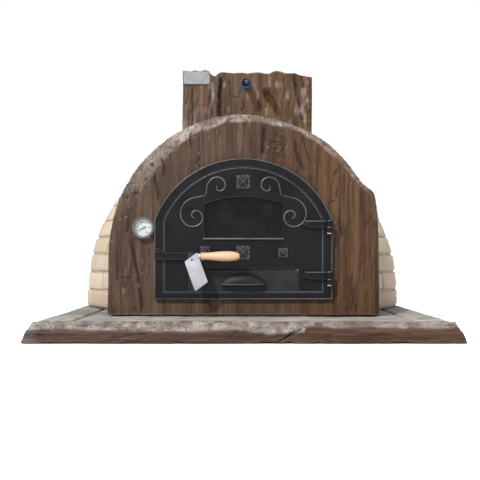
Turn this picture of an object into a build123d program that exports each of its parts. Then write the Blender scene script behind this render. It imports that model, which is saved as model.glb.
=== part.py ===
"""Wood fired pizza oven: a brick dome on a concrete slab, with a wood-effect facade, a cast
iron door, a short chimney block with a damper, and a dial thermometer.

Frame: millimetres, +Z up, the facade faces -Y. The origin is the centre of the footprint on
the underside of the slab. Heights named *_up are measured from the top of the slab.
"""
from build123d import *
import os
from math import cos, pi, sin, sqrt, radians

# Slab
slab_width = 1180.0
slab_depth = 1390.0
slab_t = 58.0
board_w = 102.0
slab_side = 562.0
log_depth = 45.0
log_end_slope = 28.0
log_split_top = 162.0
log_split_bottom = 83.0

# Facade and mouth
facade_front = -505.0
facade_t = 150.0
facade_back = facade_front + facade_t
facade_rim = 28.0
mouth_w = 246.0
mouth_r = 263.7
arc_up = 181.0
sill_t = 30.0
sill_up = 58.0
vault_t = 30.0

# Dome: centre line, and each layer's radius and height over the slab
dome_y = 115.0
power = 2.2
cavity_r, cavity_h = 475.0, 495.0
refractory_r, refractory_h = 522.0, 541.0
blanket_r, blanket_h = 540.0, 573.0
brick_r, brick_h = 560.0, 598.0
blanket_barrel = 24.0
brick_barrel = 52.0
insulation_t = 30.0
tile_t = 35.0
tile_pitch = 240.0
tile_gap = 1.5
tile_field_r = 471.0

# Chimney block, flue and damper
block_x0, block_x1 = -182.0, 206.0
block_y0, block_y1 = -435.0, -205.0
block_foot_up = 330.0
block_top_up = 729.0
flue_x, flue_y = 10.0, -320.0
flue_r = 59.0
liner_t = 2.0
collar_r = 63.0
collar_len = 40.0
collar_t = 3.0
damper_up = 678.0
plate_r = 56.5
plate_t = 4.0
shaft_r = 5.0
run_gap = 0.05
coil_r = 16.0
coil_len = 55.0
wire_r = 2.6
peg_x, peg_up = 68.0, 661.0
peg_r0, peg_r1, peg_len = 13.0, 8.0, 65.0
plate_box = (-177.0, -99.0, 684.5, 722.5)
plate_sheet = 1.5

# Door
frame_w, frame_r, frame_foot_up = 255.0, 272.7, 49.5
frame_proud = 10.0
frame_front = facade_front - frame_proud
leaf_w, leaf_r, leaf_foot_up = 229.0, 247.7, 68.8
leaf_gap = 1.2
leaf_t = 10.0
leaf_front = frame_front + 2.0
leaf_back = leaf_front + leaf_t
seal_t = 3.0
lip_w, lip_t = 14.0, 6.0
window_w, window_foot_up, window_spring_up, window_top_up = 112.5, 225.0, 324.0, 344.0
glass_rim = 8.0
glass_t = 4.0
hinge_x, hinge_y = 244.0, -530.0
pin_r = 4.5
knuckle_r = 9.5
strap_zones = ((256.0, 274.0, 163.0), (108.0, 128.0, 168.0))
lug_h = 15.0
stud_places = ((0.0, 386.0, 21.0), (0.0, 183.0, 21.0), (114.0, 183.0, 14.5), (-110.0, 188.0, 14.5))

# Latch lever, grip and tag
lever_x, lever_up = -150.0, 174.0
lever_tip_x = -254.0
lever_h, lever_t = 20.0, 5.0
lever_y = -522.0
grip_y, grip_up = -560.0, 173.0
grip_x0, grip_x1 = -119.0, -10.0
ferrule_x0, ferrule_x1, ferrule_r = -136.0, -120.0, 8.5
tang_r = 4.0
tag_y = -572.0
tag_w, tag_len, tag_t = 42.0, 88.0, 1.0
tag_lean = 20.0
tag_x, tag_up = -132.0, 129.0
hole_in = 8.0
tie_x = -133.0

# Air flap
flap_w, flap_foot_up, flap_top_up = 155.0, 76.5, 135.5
flap_t = 6.0
flap_axis_y, flap_axis_up = -508.0, 132.5
flap_pin_r = 2.5
flap_gap = 2.0
cup_w, cup_foot_up, cup_top_up, cup_out, cup_wall = 64.0, 89.0, 123.0, 28.0, 4.0

# Thermometer
gauge_x, gauge_up = -287.5, 255.0
gauge_r = 29.0
probe_end_y = -185.0
gauge_case_depth = 26.0
gauge_dial_y = facade_front + 1.0
needle_rest = 205.0


def up(height):
    """Height over the slab as a height in the model's frame."""
    return slab_t + height


def box(x0, x1, y0, y1, z0, z1):
    """A box between two corners."""
    centre = Pos((x0 + x1) / 2, (y0 + y1) / 2, (z0 + z1) / 2)
    return centre * Box(x1 - x0, y1 - y0, z1 - z0)


def rod_y(x, z, radius, y0, y1):
    """A round bar along Y."""
    return Pos(x, (y0 + y1) / 2, z) * Rot(90, 0, 0) * Cylinder(radius, y1 - y0)


def rod_x(y, z, radius, x0, x1):
    """A round bar along X."""
    return Pos((x0 + x1) / 2, y, z) * Rot(0, 90, 0) * Cylinder(radius, x1 - x0)


def rod_z(x, y, radius, z0, z1):
    """A round bar along Z."""
    return Pos(x, y, (z0 + z1) / 2) * Cylinder(radius, z1 - z0)


def prism(face, y0, y1):
    """A front-view outline (x, z) pushed through from y0 to y1."""
    return Pos(0, y1, 0) * extrude(Plane.XZ * face, amount=y1 - y0)


def arch(half, foot, radius, centre=None):
    """Upright sides and a round head about the door's arc centre."""
    middle = up(arc_up) if centre is None else centre
    spring = middle + sqrt(radius * radius - half * half)
    left = Line((-half, foot), (-half, spring))
    head = ThreePointArc((-half, spring), (0, middle + radius), (half, spring))
    right = Line((half, spring), (half, foot))
    base = Line((half, foot), (-half, foot))
    return make_face([left, head, right, base])


def dome(radius, height):
    """A solid of revolution with a superelliptic side, standing on the slab."""
    steps = [radians(a) for a in (0, 12, 24, 36, 48, 60, 72, 82, 90)]
    side = [(radius * max(cos(t), 0) ** (2 / power), up(height * sin(t) ** (2 / power))) for t in steps]
    curve = Spline(*side, tangents=[(0, 1), (-1, 0)])
    axis_line = Line((0, up(height)), (0, slab_t))
    floor = Line((0, slab_t), (radius, slab_t))
    face = Plane.XZ * make_face([curve, axis_line, floor])
    return Pos(0, dome_y, 0) * revolve(face, Axis.Z)


def barrel(growth):
    """The arched passage between the facade and the dome, grown outward by a layer."""
    outline = arch(mouth_w + growth, slab_t, mouth_r + growth)
    return prism(outline, facade_back, dome_y)


def tunnel():
    """The whole outside of the mouth's lining, from behind the facade's front lip."""
    return prism(arch(mouth_w, slab_t, mouth_r), facade_front + sill_t, dome_y)


def block_space(foot):
    """The upright space of the chimney block over a given foot height."""
    return box(block_x0, block_x1, block_y0, block_y1, foot, up(block_top_up))


# ---------------------------------------------------------------- base
def make_slab():
    """Three cast boards side by side behind the two front logs."""
    back = slab_depth / 2
    front = -slab_depth / 2 + log_depth
    inner = slab_side - board_w
    return {
        "base_slab": box(-inner, inner, front, back, 0, slab_t),
        "left_side_board": box(-slab_side, -inner, front, back, 0, slab_t),
        "right_side_board": box(inner, slab_side, front, back, 0, slab_t),
    }


def make_logs():
    """The front edge is two logs that meet on a slanting break; their far ends slope."""
    front = -slab_depth / 2
    end = slab_width / 2
    left = Polyline((-end, 0), (log_split_bottom, 0), (log_split_top, slab_t),
                    (-end + log_end_slope, slab_t), close=True)
    right = Polyline((log_split_bottom, 0), (end, 0), (end - log_end_slope, slab_t),
                     (log_split_top, slab_t), close=True)
    scoop = box(8, 190, front - 1, front + 16, slab_t - 12, slab_t + 1)
    return {
        "front_log_left": prism(make_face(left), front, front + log_depth) - scoop,
        "front_log_right": prism(make_face(right), front, front + log_depth) - scoop,
    }


# ---------------------------------------------------------------- hearth
def make_hearth():
    """Insulating board, square refractory tiles and the tile of the mouth."""
    inside = mouth_w - vault_t - 1.0
    lip = facade_front + sill_t
    z1 = up(insulation_t)
    z2 = z1 + tile_t
    board = Pos(0, dome_y, (slab_t + z1) / 2) * Cylinder(tile_field_r, insulation_t)
    board += box(-inside, inside, lip, dome_y, slab_t, z1)
    disc = Pos(0, dome_y, (z1 + z2) / 2) * Cylinder(tile_field_r, tile_t)
    side = tile_pitch - tile_gap
    tiles = []
    for column in range(4):
        for row in range(4):
            x = (column - 1.5) * tile_pitch
            y = dome_y + (row - 1.5) * tile_pitch
            tile = Pos(x, y, (z1 + z2) / 2) * Box(side, side, tile_t)
            tiles += (tile & disc).solids()
    clear = Pos(0, dome_y, (z1 + z2) / 2) * Cylinder(tile_field_r + tile_gap, tile_t + 2)
    mouth = box(-inside, inside, lip, dome_y, z1, z2) - clear
    mouth = mouth.solids().sort_by(Axis.Y)[0]
    return {"hearth_insulation": board, "hearth_tiles": Compound(tiles), "mouth_tile": mouth}


# ---------------------------------------------------------------- dome
def probe(start):
    """The thermometer's probe from a start depth into the cavity."""
    return rod_y(gauge_x, up(gauge_up), 3.0, start, probe_end_y)


def make_dome():
    """Refractory dome, blanket, brick skin with its porch, and the vault that lines the mouth."""
    cavity = dome(cavity_r, cavity_h)
    hot = dome(refractory_r, refractory_h)
    warm = dome(blanket_r, blanket_h) + barrel(blanket_barrel)
    cold = dome(brick_r, brick_h)
    passage = tunnel()
    behind = box(-slab_side, slab_side, facade_back, slab_depth / 2, slab_t, up(block_top_up))
    stack = block_space(up(block_foot_up))
    bore = prism(arch(mouth_w - vault_t, slab_t - 1, mouth_r - vault_t),
                 facade_front, dome_y + 1)
    flue_way = rod_z(flue_x, flue_y, flue_r + liner_t, up(arc_up), up(block_top_up))
    vault = passage - bore - cavity - flue_way
    vault = vault.solids().sort_by(SortBy.VOLUME)[-1]
    way = probe(facade_back - 1)
    refractory = ((hot - cavity - passage) & behind) - way
    blanket = ((warm - hot - passage) & behind) - stack - way
    bricks = ((cold - warm) & behind) - stack - way
    porch = ((barrel(brick_barrel) - cold - warm) & behind) - stack - way
    return {
        "refractory_dome": refractory.solids().sort_by(SortBy.VOLUME)[-1],
        "insulation_blanket": blanket.solids().sort_by(SortBy.VOLUME)[-1],
        "brick_skin": bricks.solids().sort_by(SortBy.VOLUME)[-1],
        "brick_porch": Compound(porch.solids()),
        "mouth_vault": vault,
    }


# ---------------------------------------------------------------- facade
def facade_outline():
    """Upright feet and a hand-shaped round head."""
    head = Spline((-394, up(172)), (-331, up(398)), (-240, up(501)), (-130, up(565)), (15, up(588)),
                  (150, up(558)), (290, up(464)), (358, up(382)), (396, up(225)),
                  tangents=[(0.03, 1), (0.01, -1)])
    left = Line((-397, slab_t), (-394, up(172)))
    right = Line((396, up(225)), (398, slab_t))
    foot = Line((398, slab_t), (-397, slab_t))
    return make_face([left, head, right, foot])


def anchor_places():
    """Where the frame's six masonry anchors enter the facade."""
    band = 250.4
    low = [(side * band, up(height)) for side in (-1, 1) for height in (100, 235)]
    arc = 267.9
    turn = radians(35)
    high = [(side * arc * sin(turn), up(arc_up) + arc * cos(turn)) for side in (-1, 1)]
    return low + high


def make_facade(fittings):
    """The cast arch, with its mouth, the block's seat and the fittings' sockets cut out."""
    body = prism(facade_outline(), facade_front, facade_back)
    rim = [e for e in body.faces().sort_by(Axis.Y)[0].edges() if e.center().Z > slab_t + 1]
    body = fillet(rim, facade_rim)
    body -= prism(arch(mouth_w, up(sill_up), mouth_r), facade_front - 1, facade_back + 1)
    body -= prism(arch(mouth_w, slab_t - 1, mouth_r), facade_front + sill_t, facade_back + 1)
    body -= block_space(up(block_foot_up))
    for x, z in anchor_places():
        body -= rod_y(x, z, 4.0, facade_front - 1, facade_front + 50)
    return {"facade": body - fittings}


# ---------------------------------------------------------------- chimney
def make_chimney():
    """Block, steel liner, outlet collar, shaft bushes, tool peg and maker's blank plate."""
    block = block_space(up(block_foot_up)) - dome(refractory_r, refractory_h) - tunnel()
    block -= rod_z(flue_x, flue_y, flue_r + liner_t, slab_t, up(block_top_up) + 1)
    top = up(block_top_up)
    block -= rod_z(flue_x, flue_y, collar_r + collar_t, top - collar_len, top + 1)
    axis_z = up(damper_up)
    bush_r = 8.0
    bush_back = flue_y + flue_r + 22
    block -= rod_y(flue_x, axis_z, bush_r, block_y0 - 1, bush_back)
    tenon = rod_y(peg_x, up(peg_up), 7.0, block_y0, block_y0 + 25)
    block -= tenon
    peg = Pos(peg_x, block_y0 - peg_len / 2, up(peg_up)) * Rot(90, 0, 0) * Cone(peg_r0, peg_r1, peg_len)
    liner = rod_z(flue_x, flue_y, flue_r + liner_t, up(arc_up + mouth_r - vault_t), top - collar_len)
    liner -= rod_z(flue_x, flue_y, flue_r, slab_t, top + 1)
    liner -= rod_y(flue_x, axis_z, shaft_r + 0.5, block_y0, bush_back)
    collar = rod_z(flue_x, flue_y, collar_r + collar_t, top - collar_len, top)
    collar -= rod_z(flue_x, flue_y, collar_r, top - collar_len - 1, top + 1)
    bore = rod_y(flue_x, axis_z, shaft_r + run_gap, block_y0 - 9, bush_back + 1)
    wall = flue_r + collar_t + 6
    front_bush = rod_y(flue_x, axis_z, bush_r, block_y0, flue_y - wall)
    front_bush += rod_y(flue_x, axis_z, 13.0, block_y0 - 3, block_y0)
    back_bush = rod_y(flue_x, axis_z, bush_r, flue_y + wall, bush_back)
    x0, x1, z0, z1 = plate_box
    face_y = block_y0 - plate_sheet
    plate = box(x0, x1, face_y, block_y0, up(z0), up(z1))
    rivets = []
    for x in (x0 + 5, x1 - 5):
        for z in (z0 + 5, z1 - 5):
            plate -= rod_y(x, up(z), 1.5, face_y - 1, block_y0)
            block -= rod_y(x, up(z), 1.5, block_y0, block_y0 + 12)
            shank = rod_y(x, up(z), 1.5, face_y, block_y0 + 12)
            rivets.append(shank + rod_y(x, up(z), 3.0, face_y - 1.2, face_y))
    return {
        "chimney_block": block.solids().sort_by(SortBy.VOLUME)[-1],
        "tool_peg": peg + tenon,
        "flue_liner": liner.solids().sort_by(SortBy.VOLUME)[-1],
        "flue_collar": collar,
        "damper_front_bush": front_bush - bore,
        "damper_back_bush": back_bush - bore,
        "nameplate": plate,
        "nameplate_rivets": Compound(rivets),
    }


def make_damper():
    """Butterfly plate on a shaft, with a coiled grip whose wire ends in a curled tail."""
    axis_z = up(damper_up)
    back = flue_y + flue_r + 20
    grip_end = block_y0 - 8 - coil_len
    shaft = rod_y(flue_x, axis_z, shaft_r, grip_end, back)
    plate = Pos(flue_x, flue_y, axis_z) * Cylinder(plate_r, plate_t)
    boss = rod_y(flue_x, axis_z, shaft_r + 4, flue_y - 40, flue_y + 40)
    way = rod_y(flue_x, axis_z, shaft_r, flue_y - plate_r - 2, flue_y + plate_r + 2)
    butterfly = plate + boss - way
    turns = 7
    step = coil_len / turns
    coil = rod_y(flue_x, axis_z, shaft_r + 1.5, grip_end, block_y0 - 8)
    for i in range(turns):
        y = block_y0 - 8 - (i + 0.5) * step
        radius = coil_r - wire_r - 4.5 * (turns - 1 - i) / (turns - 1)
        coil += Pos(flue_x, y, axis_z) * Rot(90, 0, 0) * Torus(radius, wire_r)
        coil += rod_y(flue_x, axis_z, radius, y - step / 2, y + step / 2)
    coil -= rod_y(flue_x, axis_z, shaft_r, grip_end - 1, block_y0)
    tail_y = grip_end + 2.0
    start = (flue_x - 10, tail_y, axis_z - 4)
    route = FilletPolyline(start, (flue_x - 20, tail_y, axis_z - 14),
                           (flue_x - 20, tail_y, axis_z - 42), (flue_x - 38, tail_y, axis_z - 44),
                           (flue_x - 41, tail_y, axis_z - 34), radius=5)
    tail = sweep(Plane(start, z_dir=route % 0) * Circle(wire_r), path=route)
    return {
        "damper_plate": butterfly.solids().sort_by(SortBy.VOLUME)[-1],
        "damper_shaft": shaft,
        "damper_coil_grip": coil,
        "damper_tail": tail - coil,
    }


# ---------------------------------------------------------------- door frame
def lug_zones():
    """Heights of the two hinge lugs, each just under its door knuckle."""
    return [(up(z0) - 1.5 - lug_h, up(z0) - 1.5) for z0, z1, x0 in strap_zones]


def make_frame():
    """Cast band on the facade with a rebate behind the leaf, hinge lugs, pins and keeper."""
    inner = leaf_w + leaf_gap
    inner_r = leaf_r + leaf_gap
    inner_foot = up(leaf_foot_up - leaf_gap)
    collar_foot = up(sill_up + 0.8)
    lip_front = leaf_back + seal_t
    band = prism(arch(frame_w, up(frame_foot_up), frame_r), frame_front, facade_front)
    collar = prism(arch(mouth_w - 1.5, collar_foot, mouth_r - 1.5), facade_front, lip_front + lip_t)
    frame = band + collar
    frame -= prism(arch(inner, inner_foot, inner_r), frame_front - 1, lip_front)
    frame -= prism(arch(inner - lip_w, up(leaf_foot_up + 4), inner_r - lip_w),
                   frame_front - 1, lip_front + lip_t + 1)
    for x, z in anchor_places():
        frame -= rod_y(x, z, 4.0, frame_front + 4, facade_front + 1)
    pins = []
    for (z0, z1), (s0, s1, x0) in zip(lug_zones(), strap_zones):
        lug = rod_z(hinge_x, hinge_y, knuckle_r, z0, z1)
        lug += box(hinge_x - knuckle_r, hinge_x + knuckle_r, hinge_y, frame_front, z0, z1)
        lug -= rod_z(hinge_x, hinge_y, pin_r, z0 - 1, z1 + 1)
        frame += lug
        pin = rod_z(hinge_x, hinge_y, pin_r, z0, up(s1) + 1)
        pins.append(pin + rod_z(hinge_x, hinge_y, pin_r + 2, z0 - 3, z0))
    anchors = [rod_y(x, z, 4.0, frame_front + 4, facade_front + 48) for x, z in anchor_places()]
    top = up(lever_up) + lever_h / 2 + 0.8
    keeper = Polyline((-248, up(160)), (-231, up(160)), (-231, up(190)), (-248, up(197)), close=True)
    plate = prism(make_face(keeper), frame_front - 4, frame_front)
    cap = Polyline((-248, top), (-231, top), (-231, up(190)), (-248, up(197)), close=True)
    plate += prism(make_face(cap), lever_y - 8, frame_front)
    return {
        "door_frame": frame,
        "frame_anchors": Compound(anchors),
        "hinge_pins": Compound(pins),
        "latch_keeper": plate,
    }


# ---------------------------------------------------------------- door
def window_face(growth):
    """Window outline: upright sides and a shallow round head."""
    half = window_w + growth
    spring = up(window_spring_up)
    top = up(window_top_up) + growth
    foot = up(window_foot_up) - growth
    left = Line((-half, foot), (-half, spring))
    head = ThreePointArc((-half, spring), (0, top), (half, spring))
    right = Line((half, spring), (half, foot))
    base = Line((half, foot), (-half, foot))
    return make_face([left, head, right, base])


def make_leaf():
    """Door leaf with window and flap openings, straps with knuckles and cast studs."""
    leaf = prism(arch(leaf_w, up(leaf_foot_up), leaf_r), leaf_front, leaf_back)
    leaf -= prism(window_face(0), leaf_front - 1, leaf_back + 1)
    gap_w = flap_w + flap_gap
    leaf -= box(-gap_w, gap_w, leaf_front - 1, leaf_back + 1,
                up(flap_foot_up - flap_gap), up(flap_top_up + flap_gap))
    for side in (-1, 1):
        ends = sorted((side * gap_w, side * (gap_w + 8)))
        leaf -= rod_x(flap_axis_y, up(flap_axis_up), flap_pin_r + run_gap, *ends)
    strap_back = frame_front - 1.0
    for z0, z1, x0 in strap_zones:
        point = Polyline((x0, up((z0 + z1) / 2)), (x0 + 26, up(z0)), (hinge_x, up(z0)),
                         (hinge_x, up(z1)), (x0 + 26, up(z1)), close=True)
        strap = prism(make_face(point), strap_back - 9, strap_back)
        strap += box(x0 + 22, leaf_w - 3, strap_back - 1, leaf_front, up(z0) + 1, up(z1) - 1)
        strap += rod_z(hinge_x, hinge_y, knuckle_r, up(z0), up(z1))
        strap -= rod_z(hinge_x, hinge_y, pin_r + run_gap, up(z0) - 1, up(z1) + 1)
        leaf += strap
    leaf -= rod_y(lever_x, up(lever_up), 5.0, leaf_front - 1, leaf_back + 1)
    studs = []
    for x, height, half in stud_places:
        base = Pos(x, leaf_front, up(height)) * Rot(90, 0, 0)
        foot = extrude(base * Rectangle(2 * half, 2 * half), amount=3, taper=12)
        tip = Pos(x, leaf_front - 3, up(height)) * Rot(90, 0, 0)
        point = extrude(tip * Rectangle(1.3 * half, 1.3 * half), amount=0.45 * half, taper=45)
        studs.append(foot + point)
    return leaf, Compound([s.solid() for s in studs])


def make_window():
    """Glass behind the leaf, its rope seal, the clamping frame and four screws."""
    seal_y = leaf_back + 2.0
    glass_y = seal_y + glass_t
    seal = prism(window_face(glass_rim), leaf_back, seal_y) - prism(window_face(2), leaf_back - 1, seal_y + 1)
    glass = prism(window_face(glass_rim), seal_y, glass_y)
    clamp = prism(window_face(glass_rim + 12), leaf_back, glass_y + 2)
    clamp -= prism(window_face(glass_rim + 0.5), leaf_back - 1, glass_y)
    clamp -= prism(window_face(glass_rim - 5), leaf_back - 1, glass_y + 3)
    screws = []
    mid = glass_rim + 6.5
    for x in (-1, 1):
        for z in (up(window_foot_up) + 12, up(window_spring_up) - 12):
            place = x * (window_w + mid)
            clamp -= rod_y(place, z, 2.0, leaf_back - 1, glass_y + 3)
            screw = rod_y(place, z, 2.0, leaf_back, glass_y + 2)
            screws.append(screw + rod_y(place, z, 4.0, glass_y + 2, glass_y + 4))
    return {
        "window_seal": seal,
        "window_glass": glass,
        "window_clamp": clamp,
        "window_screws": Compound(screws),
    }


def make_door():
    """The leaf with its studs, window and the rope seal round its back."""
    leaf, studs = make_leaf()
    outer, inner = 2.5, 11.0
    seal = prism(arch(leaf_w - outer, up(leaf_foot_up + 5), leaf_r - outer), leaf_back, leaf_back + seal_t - 0.4)
    seal -= prism(arch(leaf_w - inner, up(leaf_foot_up + 5 + inner - outer), leaf_r - inner),
                  leaf_back - 1, leaf_back + seal_t)
    gap_w = flap_w + flap_gap + 8
    seal -= box(-gap_w, gap_w, leaf_back - 1, leaf_back + seal_t, up(leaf_foot_up), up(flap_top_up))
    nodes = {"door_leaf": leaf, "door_studs": studs, "door_seal": seal.solids().sort_by(SortBy.VOLUME)[-1]}
    nodes.update(make_window())
    return nodes


# ---------------------------------------------------------------- latch
def make_latch():
    """Latch lever on its pivot bolt, with ferrule and turned wooden grip."""
    z = up(lever_up)
    bar = box(lever_tip_x, lever_x, lever_y - lever_t / 2, lever_y + lever_t / 2,
              z - lever_h / 2, z + lever_h / 2)
    bar += rod_y(lever_x, z, 12.0, lever_y - lever_t / 2, lever_y + lever_t / 2)
    crank_z = up(grip_up)
    bar += box(lever_x, -137, lever_y - lever_t / 2, lever_y + lever_t / 2, crank_z - 6, crank_z + 6)
    bar += box(-141.5, -137, grip_y - 5, lever_y + lever_t / 2, crank_z - 6, crank_z + 6)
    bar += rod_x(grip_y, crank_z, tang_r, -141, grip_x1 - 12)
    bar -= rod_y(lever_x, z, 5.0 + run_gap, lever_y - 5, lever_y + 5)
    bolt = rod_y(lever_x, z, 5.0, lever_y - lever_t / 2 - 1, leaf_back)
    bolt += rod_y(lever_x, z, 8.0, lever_y - lever_t / 2 - 6, lever_y - lever_t / 2 - 0.6)
    nut = Pos(lever_x, leaf_back, z) * Rot(-90, 0, 0)
    nut = extrude(nut * RegularPolygon(8.0, 6), amount=6)
    washer = rod_y(lever_x, z, 9.0, lever_y + lever_t / 2 + 0.3, leaf_front)
    washer -= rod_y(lever_x, z, 5.0, leaf_front - 12, leaf_front + 1)
    tang = rod_x(grip_y, crank_z, tang_r, ferrule_x0 - 1, grip_x1)
    ferrule = rod_x(grip_y, crank_z, ferrule_r, ferrule_x0, ferrule_x1) - tang
    profile = Spline((grip_x0 + 8, 10.5), (grip_x0 + 30, 11.3), (-45, 14.5), (grip_x1 - 5, 10.5),
                     (grip_x1, 0), tangents=[(1, 0), (0, -1)])
    ring = [Line((grip_x0, 0), (grip_x0, 11.5)), Line((grip_x0, 11.5), (grip_x0 + 5, 11.5)),
            Line((grip_x0 + 5, 11.5), (grip_x0 + 8, 10.5)), profile, Line((grip_x1, 0), (grip_x0, 0))]
    grip = Pos(0, grip_y, crank_z) * revolve(make_face(ring), Axis.X)
    grip -= rod_x(grip_y, crank_z, tang_r, grip_x0 - 1, grip_x1 - 12)
    return {
        "latch_lever": bar,
        "latch_ferrule": ferrule,
        "latch_grip": grip,
        "latch_pivot_bolt": bolt,
        "latch_pivot_nut": nut,
        "latch_washer": washer,
    }


def rod_between(start, end, radius):
    """A round bar between two points."""
    way = Vector(*end) - Vector(*start)
    return Plane(start, z_dir=way) * Pos(0, 0, way.length / 2) * Cylinder(radius, way.length)


def make_tag():
    """Card tag hanging from a wire ring round the ferrule."""
    z = up(grip_up)
    ring_r = ferrule_r + 2.2
    wire = 0.8
    ring = Pos(tie_x, grip_y, z) * Rot(0, 90, 0) * Torus(ring_r, wire)
    card = Pos(tag_x, tag_y, up(tag_up)) * Rot(0, -tag_lean, 0) * Box(tag_w, tag_t, tag_len)
    reach = tag_len / 2 - hole_in
    hole_x = tag_x - reach * sin(radians(tag_lean))
    hole_z = up(tag_up) + reach * cos(radians(tag_lean))
    card -= rod_y(hole_x, hole_z, 3.0, tag_y - 2, tag_y + 2)
    link = rod_between((tie_x, grip_y - ring_r, z), (hole_x, tag_y + tag_t / 2 + wire, hole_z), wire)
    return {"tag_tie": ring + link, "paper_tag": card}


# ---------------------------------------------------------------- air flap
def make_flap():
    """Air flap with a rounded hinge edge, two pins and a cup pull."""
    y0 = flap_axis_y - flap_t / 2
    y1 = flap_axis_y + flap_t / 2
    z = up(flap_axis_up)
    flap = box(-flap_w, flap_w, y0, y1, up(flap_foot_up), z)
    flap += rod_x(flap_axis_y, z, flap_t / 2, -flap_w, flap_w)
    pins = []
    for side in (-1, 1):
        inside, outside = side * (flap_w - 8), side * (flap_w + flap_gap + 6)
        ends = sorted((inside, outside))
        pins.append(rod_x(flap_axis_y, z, flap_pin_r, *ends))
        flap -= pins[-1]
    height = cup_top_up - cup_foot_up

    def half_moon(growth, depth):
        foot = up(cup_foot_up)
        half, top = cup_w + growth, foot + height + growth
        bow = ThreePointArc((-half, foot), (0, top), (half, foot))
        face = make_face([bow, Line((half, foot), (-half, foot))])
        return prism(face, y0 - depth, y0)

    cup = half_moon(0, cup_out)
    front = cup.faces().sort_by(Axis.Y)[0]
    rim = [e for e in front.edges() if e.center().Z > up(cup_foot_up) + 2]
    cup = fillet(rim, 10)
    hollow = half_moon(-cup_wall, cup_out - cup_wall)
    hollow = Pos(0, 0, -0.01) * hollow
    cup = (cup - hollow).solids().sort_by(SortBy.VOLUME)[-1]
    return {"air_flap": flap, "flap_pins": Compound(pins), "cup_pull": cup}


# ---------------------------------------------------------------- thermometer
def make_gauge():
    """Dial thermometer: case with bezel, dial, glass, probe stem, spindle and needle."""
    z = up(gauge_up)
    back = facade_front + gauge_case_depth - 8
    face_y = facade_front - 8
    case = rod_y(gauge_x, z, gauge_r, face_y, back)
    case -= rod_y(gauge_x, z, gauge_r - 2, face_y - 1, gauge_dial_y + 1)
    bezel = rod_y(gauge_x, z, gauge_r + 2, face_y - 2, facade_front)
    bezel -= rod_y(gauge_x, z, gauge_r, face_y, facade_front + 1)
    bezel -= rod_y(gauge_x, z, gauge_r - 4, face_y - 3, face_y)
    glass = rod_y(gauge_x, z, gauge_r - 2, face_y + 0.2, face_y + 2.2)
    dial = rod_y(gauge_x, z, gauge_r - 2, gauge_dial_y, gauge_dial_y + 1)
    spindle_way = rod_y(gauge_x, z, 1.0 + run_gap, gauge_dial_y - 1, gauge_dial_y + 6)
    dial -= spindle_way
    case -= spindle_way
    stem = probe(back)
    spindle = rod_y(gauge_x, z, 1.0, gauge_dial_y - 4, gauge_dial_y + 5)
    hub = rod_y(gauge_x, z, 2.6, gauge_dial_y - 3.4, gauge_dial_y - 1.6)
    blade = Polyline((-8, -1.8), (23, -0.5), (23, 0.5), (-8, 1.8), close=True)
    blade = extrude(Plane.XZ * make_face(blade), amount=1.0)
    pointer = Pos(gauge_x, gauge_dial_y - 2, z) * Rot(0, -needle_rest, 0) * blade
    pointer = pointer + hub - rod_y(gauge_x, z, 1.0, gauge_dial_y - 6, gauge_dial_y + 1)
    return {
        "gauge_case": case,
        "gauge_bezel": bezel,
        "gauge_glass": glass,
        "gauge_dial": dial,
        "gauge_stem": stem,
        "gauge_spindle": spindle,
        "gauge_pointer": pointer,
    }


def gauge_socket():
    """The thermometer's room in the facade: case, then the probe's way through."""
    z = up(gauge_up)
    seat = rod_y(gauge_x, z, gauge_r, facade_front - 1, facade_front + gauge_case_depth - 8)
    return seat + rod_y(gauge_x, z, 3.0, facade_front, facade_back + 1)


def main():
    nodes = {}
    nodes.update(make_slab())
    nodes.update(make_logs())
    nodes.update(make_hearth())
    nodes.update(make_dome())
    nodes.update(make_facade(gauge_socket()))
    nodes.update(make_chimney())
    nodes.update(make_damper())
    nodes.update(make_frame())
    nodes.update(make_door())
    nodes.update(make_latch())
    nodes.update(make_tag())
    nodes.update(make_flap())
    nodes.update(make_gauge())
    os.makedirs("parts", exist_ok=True)
    for name, shape in nodes.items():
        export_step(shape, f"parts/{name}.step")
    print(len(nodes), "nodes")


main()
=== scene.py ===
"""Looks for the wood fired pizza oven: carved wood-effect mortar, hand-laid bricks, cast slab,
cast iron door with scroll relief, coiled damper grip, turned latch grip and dial thermometer."""
from math import atan2, cos, pi, radians, sin, sqrt

import bmesh
import bpy
import numpy as np
from mathutils import Matrix, Vector


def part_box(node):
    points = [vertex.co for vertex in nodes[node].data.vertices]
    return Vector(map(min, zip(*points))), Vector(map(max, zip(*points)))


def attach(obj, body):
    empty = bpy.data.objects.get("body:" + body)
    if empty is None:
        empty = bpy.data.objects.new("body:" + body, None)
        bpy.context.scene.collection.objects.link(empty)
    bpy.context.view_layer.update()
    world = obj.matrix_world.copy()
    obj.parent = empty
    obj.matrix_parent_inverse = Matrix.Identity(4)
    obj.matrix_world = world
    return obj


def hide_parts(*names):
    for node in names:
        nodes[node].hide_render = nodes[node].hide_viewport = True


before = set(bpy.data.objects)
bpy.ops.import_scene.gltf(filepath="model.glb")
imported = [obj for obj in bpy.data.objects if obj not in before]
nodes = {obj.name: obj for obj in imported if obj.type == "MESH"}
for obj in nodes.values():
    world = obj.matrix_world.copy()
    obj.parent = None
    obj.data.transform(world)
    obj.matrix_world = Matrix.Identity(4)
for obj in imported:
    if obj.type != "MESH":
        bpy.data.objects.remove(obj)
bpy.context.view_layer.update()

MM = 0.001
ARC_UP = 181.0          # millimetres from the slab to the centre of the door's arch
slab_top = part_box("base_slab")[1].z
frame_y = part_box("latch_keeper")[1].y
leaf_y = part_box("door_studs")[1].y
block_lo, block_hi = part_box("chimney_block")
brick_lo, brick_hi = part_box("brick_skin")


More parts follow.
